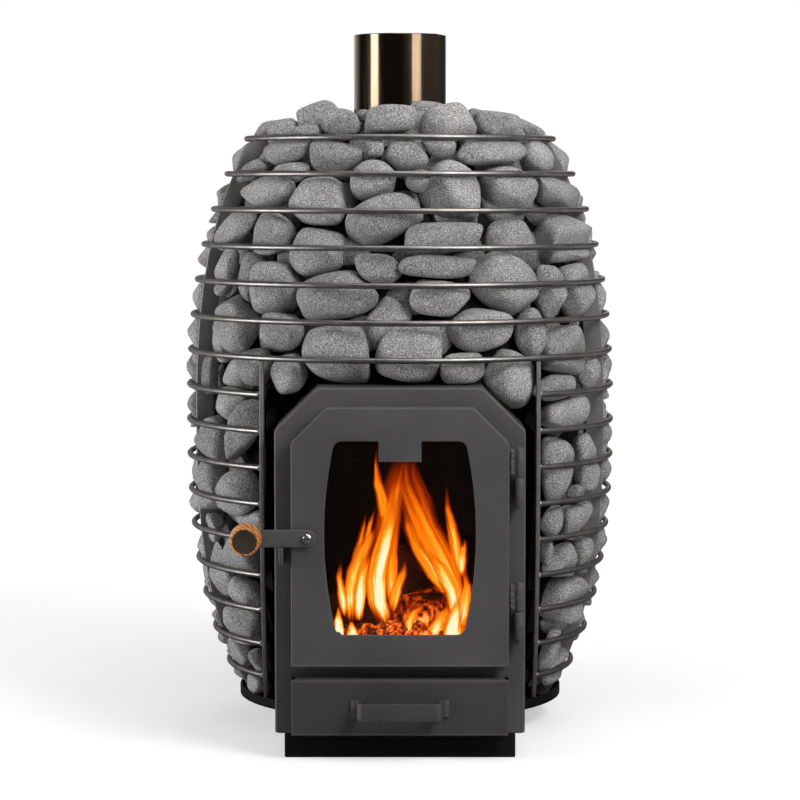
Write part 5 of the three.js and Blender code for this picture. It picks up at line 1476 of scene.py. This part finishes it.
def drawer_front():
    low, high = box("drawer_front")
    outline = rounded([(-high.x, low.z), (high.x, low.z), (high.x, high.z), (-high.x, high.z)], 0.003)
    face = facing([outline], low.y, SHEET, PAINT_EDGE, 4)
    top = facing([rectangle(high.x, high.z - SHEET, high.z)], low.y + PAINT_EDGE, high.y - low.y - PAINT_EDGE, THIN_EDGE)
    sides = []
    for side in (-1, 1):
        edges = sorted((side * high.x, side * (high.x - SHEET)))
        strip = [(edges[0], low.z), (edges[1], low.z), (edges[1], high.z), (edges[0], high.z)]
        sides.append(facing([strip], low.y + PAINT_EDGE, high.y - low.y - PAINT_EDGE, THIN_EDGE))
    piece("drawer_skin", merged(face, top, *sides), SHADED_PAINT, "drawer", ["drawer_front"])


# A flat strip bent into a bail, with rounded feet against the drawer
def drawer_handle():
    low, high = box("drawer_handle")
    strip = 0.004
    foot = high.x
    half = 0.049
    bend = 0.007
    path = [(-foot, high.y - strip / 2), (strip / 2 - half, high.y - strip / 2), (strip / 2 - half, low.y + strip / 2),
            (half - strip / 2, low.y + strip / 2), (half - strip / 2, high.y - strip / 2), (foot, high.y - strip / 2)]
    line = bent(path, bend)
    outline = strip_outline(line, strip)
    piece("handle", lying([outline], low.z, high.z - low.z, 0.0009, 4), SHADED_PAINT, "drawer",
          ["drawer_handle"])


# A path with its inner corners bent to a radius
def bent(path, radius):
    line = [path[0]]
    for before, corner, after in zip(path, path[1:], path[2:]):
        gap = min((Vector(before) - Vector(corner)).length, (Vector(after) - Vector(corner)).length)
        line.extend(rounded_corner(before, corner, after, min(radius, 0.45 * gap)))
    line.append(path[-1])
    return line


# Outline of a strip of even thickness along a path
def strip_outline(line, thickness):
    left = []
    right = []
    for index, point in enumerate(line):
        after = Vector(line[min(index + 1, len(line) - 1)])
        before = Vector(line[max(index - 1, 0)])
        along = (after - before).normalized()
        side = Vector((-along.y, along.x)) * thickness / 2
        left.append(tuple(Vector(point) + side))
        right.append(tuple(Vector(point) - side))
    return left + right[::-1]


# A low drift of ash on the floor of the pan
def ash_drift():
    low, high = box("ash_pan")
    margin = 0.006
    rows, columns = 60, 34
    points = []
    faces = []
    for row in range(rows + 1):
        for column in range(columns + 1):
            u = column / columns
            v = row / rows
            edge = min(u, 1 - u, v, 1 - v)
            swell = 0.004 * math.sin(9 * u + 3) * math.sin(14 * v) + 0.003 * math.sin(23 * u + 17 * v)
            height = low.z + 0.0026 + min(edge / 0.12, 1) * (0.010 + swell)
            points.append(Vector((low.x + margin + u * (high.x - low.x - 2 * margin),
                                  low.y + margin + v * (high.y - low.y - 2 * margin), height)))
    for row in range(rows):
        for column in range(columns):
            start = row * (columns + 1) + column
            faces.append((start, start + 1, start + columns + 2, start + columns + 1))
    piece("ash_drift", (points, faces), ASH, "drawer")


# Studio

def aim(obj, target):
    obj.rotation_euler = (Vector(target) - obj.location).to_track_quat("-Z", "Y").to_euler()


def soft_box(name, place, target, width, height, radiance, colour=(1, 1, 1)):
    lamp = bpy.data.lights.new(name, "AREA")
    lamp.shape = "RECTANGLE"
    lamp.size = width
    lamp.size_y = height
    lamp.energy = radiance * math.pi * width * height
    lamp.color = colour
    holder = bpy.data.objects.new(name, lamp)
    holder.location = place
    bpy.context.collection.objects.link(holder)
    aim(holder, target)


def lamps():
    soft_box("key", (1.25, -1.55, 1.75), (0, -0.1, 0.38), 0.8, 1.0, 14.6)
    soft_box("top", (0.1, -0.5, 2.2), (0, 0, 0.4), 1.4, 1.2, 2.3)
    soft_box("left_fill", (-1.9, -0.4, 0.36), (0, 0, 0.4), 0.9, 0.66, 11.0)
    soft_box("left_strip", (-1.85, -0.83, 0.885), (0, 0, 0.82), 0.74, 0.22, 11.0)
    soft_box("right_strip", (1.34, -1.52, 0.885), (0, 0, 0.82), 0.80, 0.22, 6.0)
    soft_box("rear", (0.6, 1.9, 1.6), (0, 0, 0.4), 1.4, 1.0, 2.6)
    glow = bpy.data.lights.new("fire_glow", "POINT")
    glow.energy = 0.09
    glow.color = (1.0, 0.20, 0.03)
    glow.shadow_soft_size = 0.03
    holder = bpy.data.objects.new("fire_glow", glow)
    holder.location = (0.0, -0.19, 0.255)
    holder.visible_camera = False
    holder.visible_transmission = False
    holder.visible_glossy = False
    bpy.context.collection.objects.link(holder)


# White studio behind the object, darker behind the photographer, with an even grey for soft light
def studio_world():
    world = bpy.data.worlds.new("studio")
    world.use_nodes = True
    tree = world.node_tree
    shade = tree.nodes["Background"]
    path = tree.nodes.new("ShaderNodeLightPath")
    where = tree.nodes.new("ShaderNodeTexCoord")
    axes = tree.nodes.new("ShaderNodeSeparateXYZ")
    tree.links.new(where.outputs["Generated"], axes.inputs["Vector"])
    backdrop = tree.nodes.new("ShaderNodeMapRange")
    backdrop.inputs["From Min"].default_value = 0.45
    backdrop.inputs["From Max"].default_value = 0.9
    backdrop.inputs["To Min"].default_value = 0.03
    backdrop.inputs["To Max"].default_value = 1.0
    tree.links.new(axes.outputs["Y"], backdrop.inputs["Value"])
    dim_side = tree.nodes.new("ShaderNodeMapRange")
    dim_side.inputs["From Min"].default_value = 0.3
    dim_side.inputs["From Max"].default_value = 0.8
    dim_side.inputs["To Min"].default_value = 0.2
    dim_side.inputs["To Max"].default_value = 0.06
    tree.links.new(axes.outputs["Y"], dim_side.inputs["Value"])
    rightward = tree.nodes.new("ShaderNodeMapRange")
    rightward.inputs["From Min"].default_value = 0.1
    rightward.inputs["From Max"].default_value = 0.5
    tree.links.new(axes.outputs["X"], rightward.inputs["Value"])
    around_object = tree.nodes.new("ShaderNodeMix")
    tree.links.new(rightward.outputs["Result"], around_object.inputs["Factor"])
    tree.links.new(backdrop.outputs["Result"], around_object.inputs["A"])
    tree.links.new(dim_side.outputs["Result"], around_object.inputs["B"])
    mirrored = tree.nodes.new("ShaderNodeMix")
    mirrored.inputs["A"].default_value = 0.11
    tree.links.new(path.outputs["Is Glossy Ray"], mirrored.inputs["Factor"])
    tree.links.new(around_object.outputs["Result"], mirrored.inputs["B"])
    seen = tree.nodes.new("ShaderNodeMath")
    seen.operation = "MAXIMUM"
    tree.links.new(path.outputs["Is Camera Ray"], seen.inputs[0])
    tree.links.new(path.outputs["Is Transmission Ray"], seen.inputs[1])
    strength = tree.nodes.new("ShaderNodeMix")
    strength.inputs["B"].default_value = 1.0
    tree.links.new(seen.outputs["Value"], strength.inputs["Factor"])
    tree.links.new(mirrored.outputs["Result"], strength.inputs["A"])
    tree.links.new(strength.outputs["Result"], shade.inputs["Strength"])
    shade.inputs["Color"].default_value = (1, 1, 1, 1)
    bpy.context.scene.world = world


def floor():
    size = 9.0
    mesh = bpy.data.meshes.new("floor")
    mesh.from_pydata([(-size, -size, 0), (size, -size, 0), (size, size, 0), (-size, size, 0)], [], [(0, 1, 2, 3)])
    finish = Finish("floor", {"Roughness": 0.9, "Specular IOR Level": 0.1})
    path = finish.node("LightPath").outputs
    # Painted reflection: the floor turns dark for reflected rays, so metal and glass show a dark floor in front, while
    # behind the object it shines white in them
    shade = finish.math("SUBTRACT", 1.0, finish.math("MULTIPLY", path["Is Glossy Ray"], 0.85))
    finish.feed("Base Color", finish.math("MULTIPLY", finish.ramp(finish.noise(3, 2), (0.3, 0.57), (0.7, 0.60)), shade))
    depth = finish.node("SeparateXYZ", {"Vector": finish.place()}).outputs["Y"]
    mirrored = finish.math("MULTIPLY", path["Is Glossy Ray"], finish.ramp(depth, (0.0, 0.0), (0.8, 1.0)))
    looked_at = finish.math("MAXIMUM", path["Is Camera Ray"],
                            finish.math("MAXIMUM", mirrored, path["Is Transmission Ray"]))
    distance = finish.node("VectorMath", {0: finish.place()}, operation="LENGTH").outputs["Value"]
    white = finish.ramp(finish.math("MULTIPLY", distance, 0.2), (0.08, 0.52), (0.5, 0.95))
    finish.shader.inputs["Emission Color"].default_value = (1, 1, 1, 1)
    finish.feed("Emission Strength", finish.math("MULTIPLY", looked_at, white))
    mesh.materials.append(finish.material)
    ground = bpy.data.objects.new("floor", mesh)
    bpy.context.collection.objects.link(ground)


def camera():
    lens = bpy.data.cameras.new("camera")
    lens.lens = CAMERA_LENS
    lens.sensor_width = SENSOR_WIDTH
    holder = bpy.data.objects.new("camera", lens)
    holder.location = CAMERA_PLACE
    holder.rotation_euler = (math.pi / 2 - CAMERA_DIP, 0, 0)
    bpy.context.collection.objects.link(holder)
    bpy.context.scene.camera = holder


camera()
lamps()
studio_world()
floor()
bpy.context.scene.view_settings.view_transform = "Standard"

cage_rings()
cage_ribs()
opening_bars()
stone_tray()
all_stones()
front_frame()
flue()
kept_body_nodes()
logs()
ember_bed()
flames()
door_panel()
door_glass()
door_rope()
hinges()
latch_lever()
latch_screw()
latch_knob()
latch_keeper()
drawer_front()
drawer_handle()
ash_drift()
crown_fill()
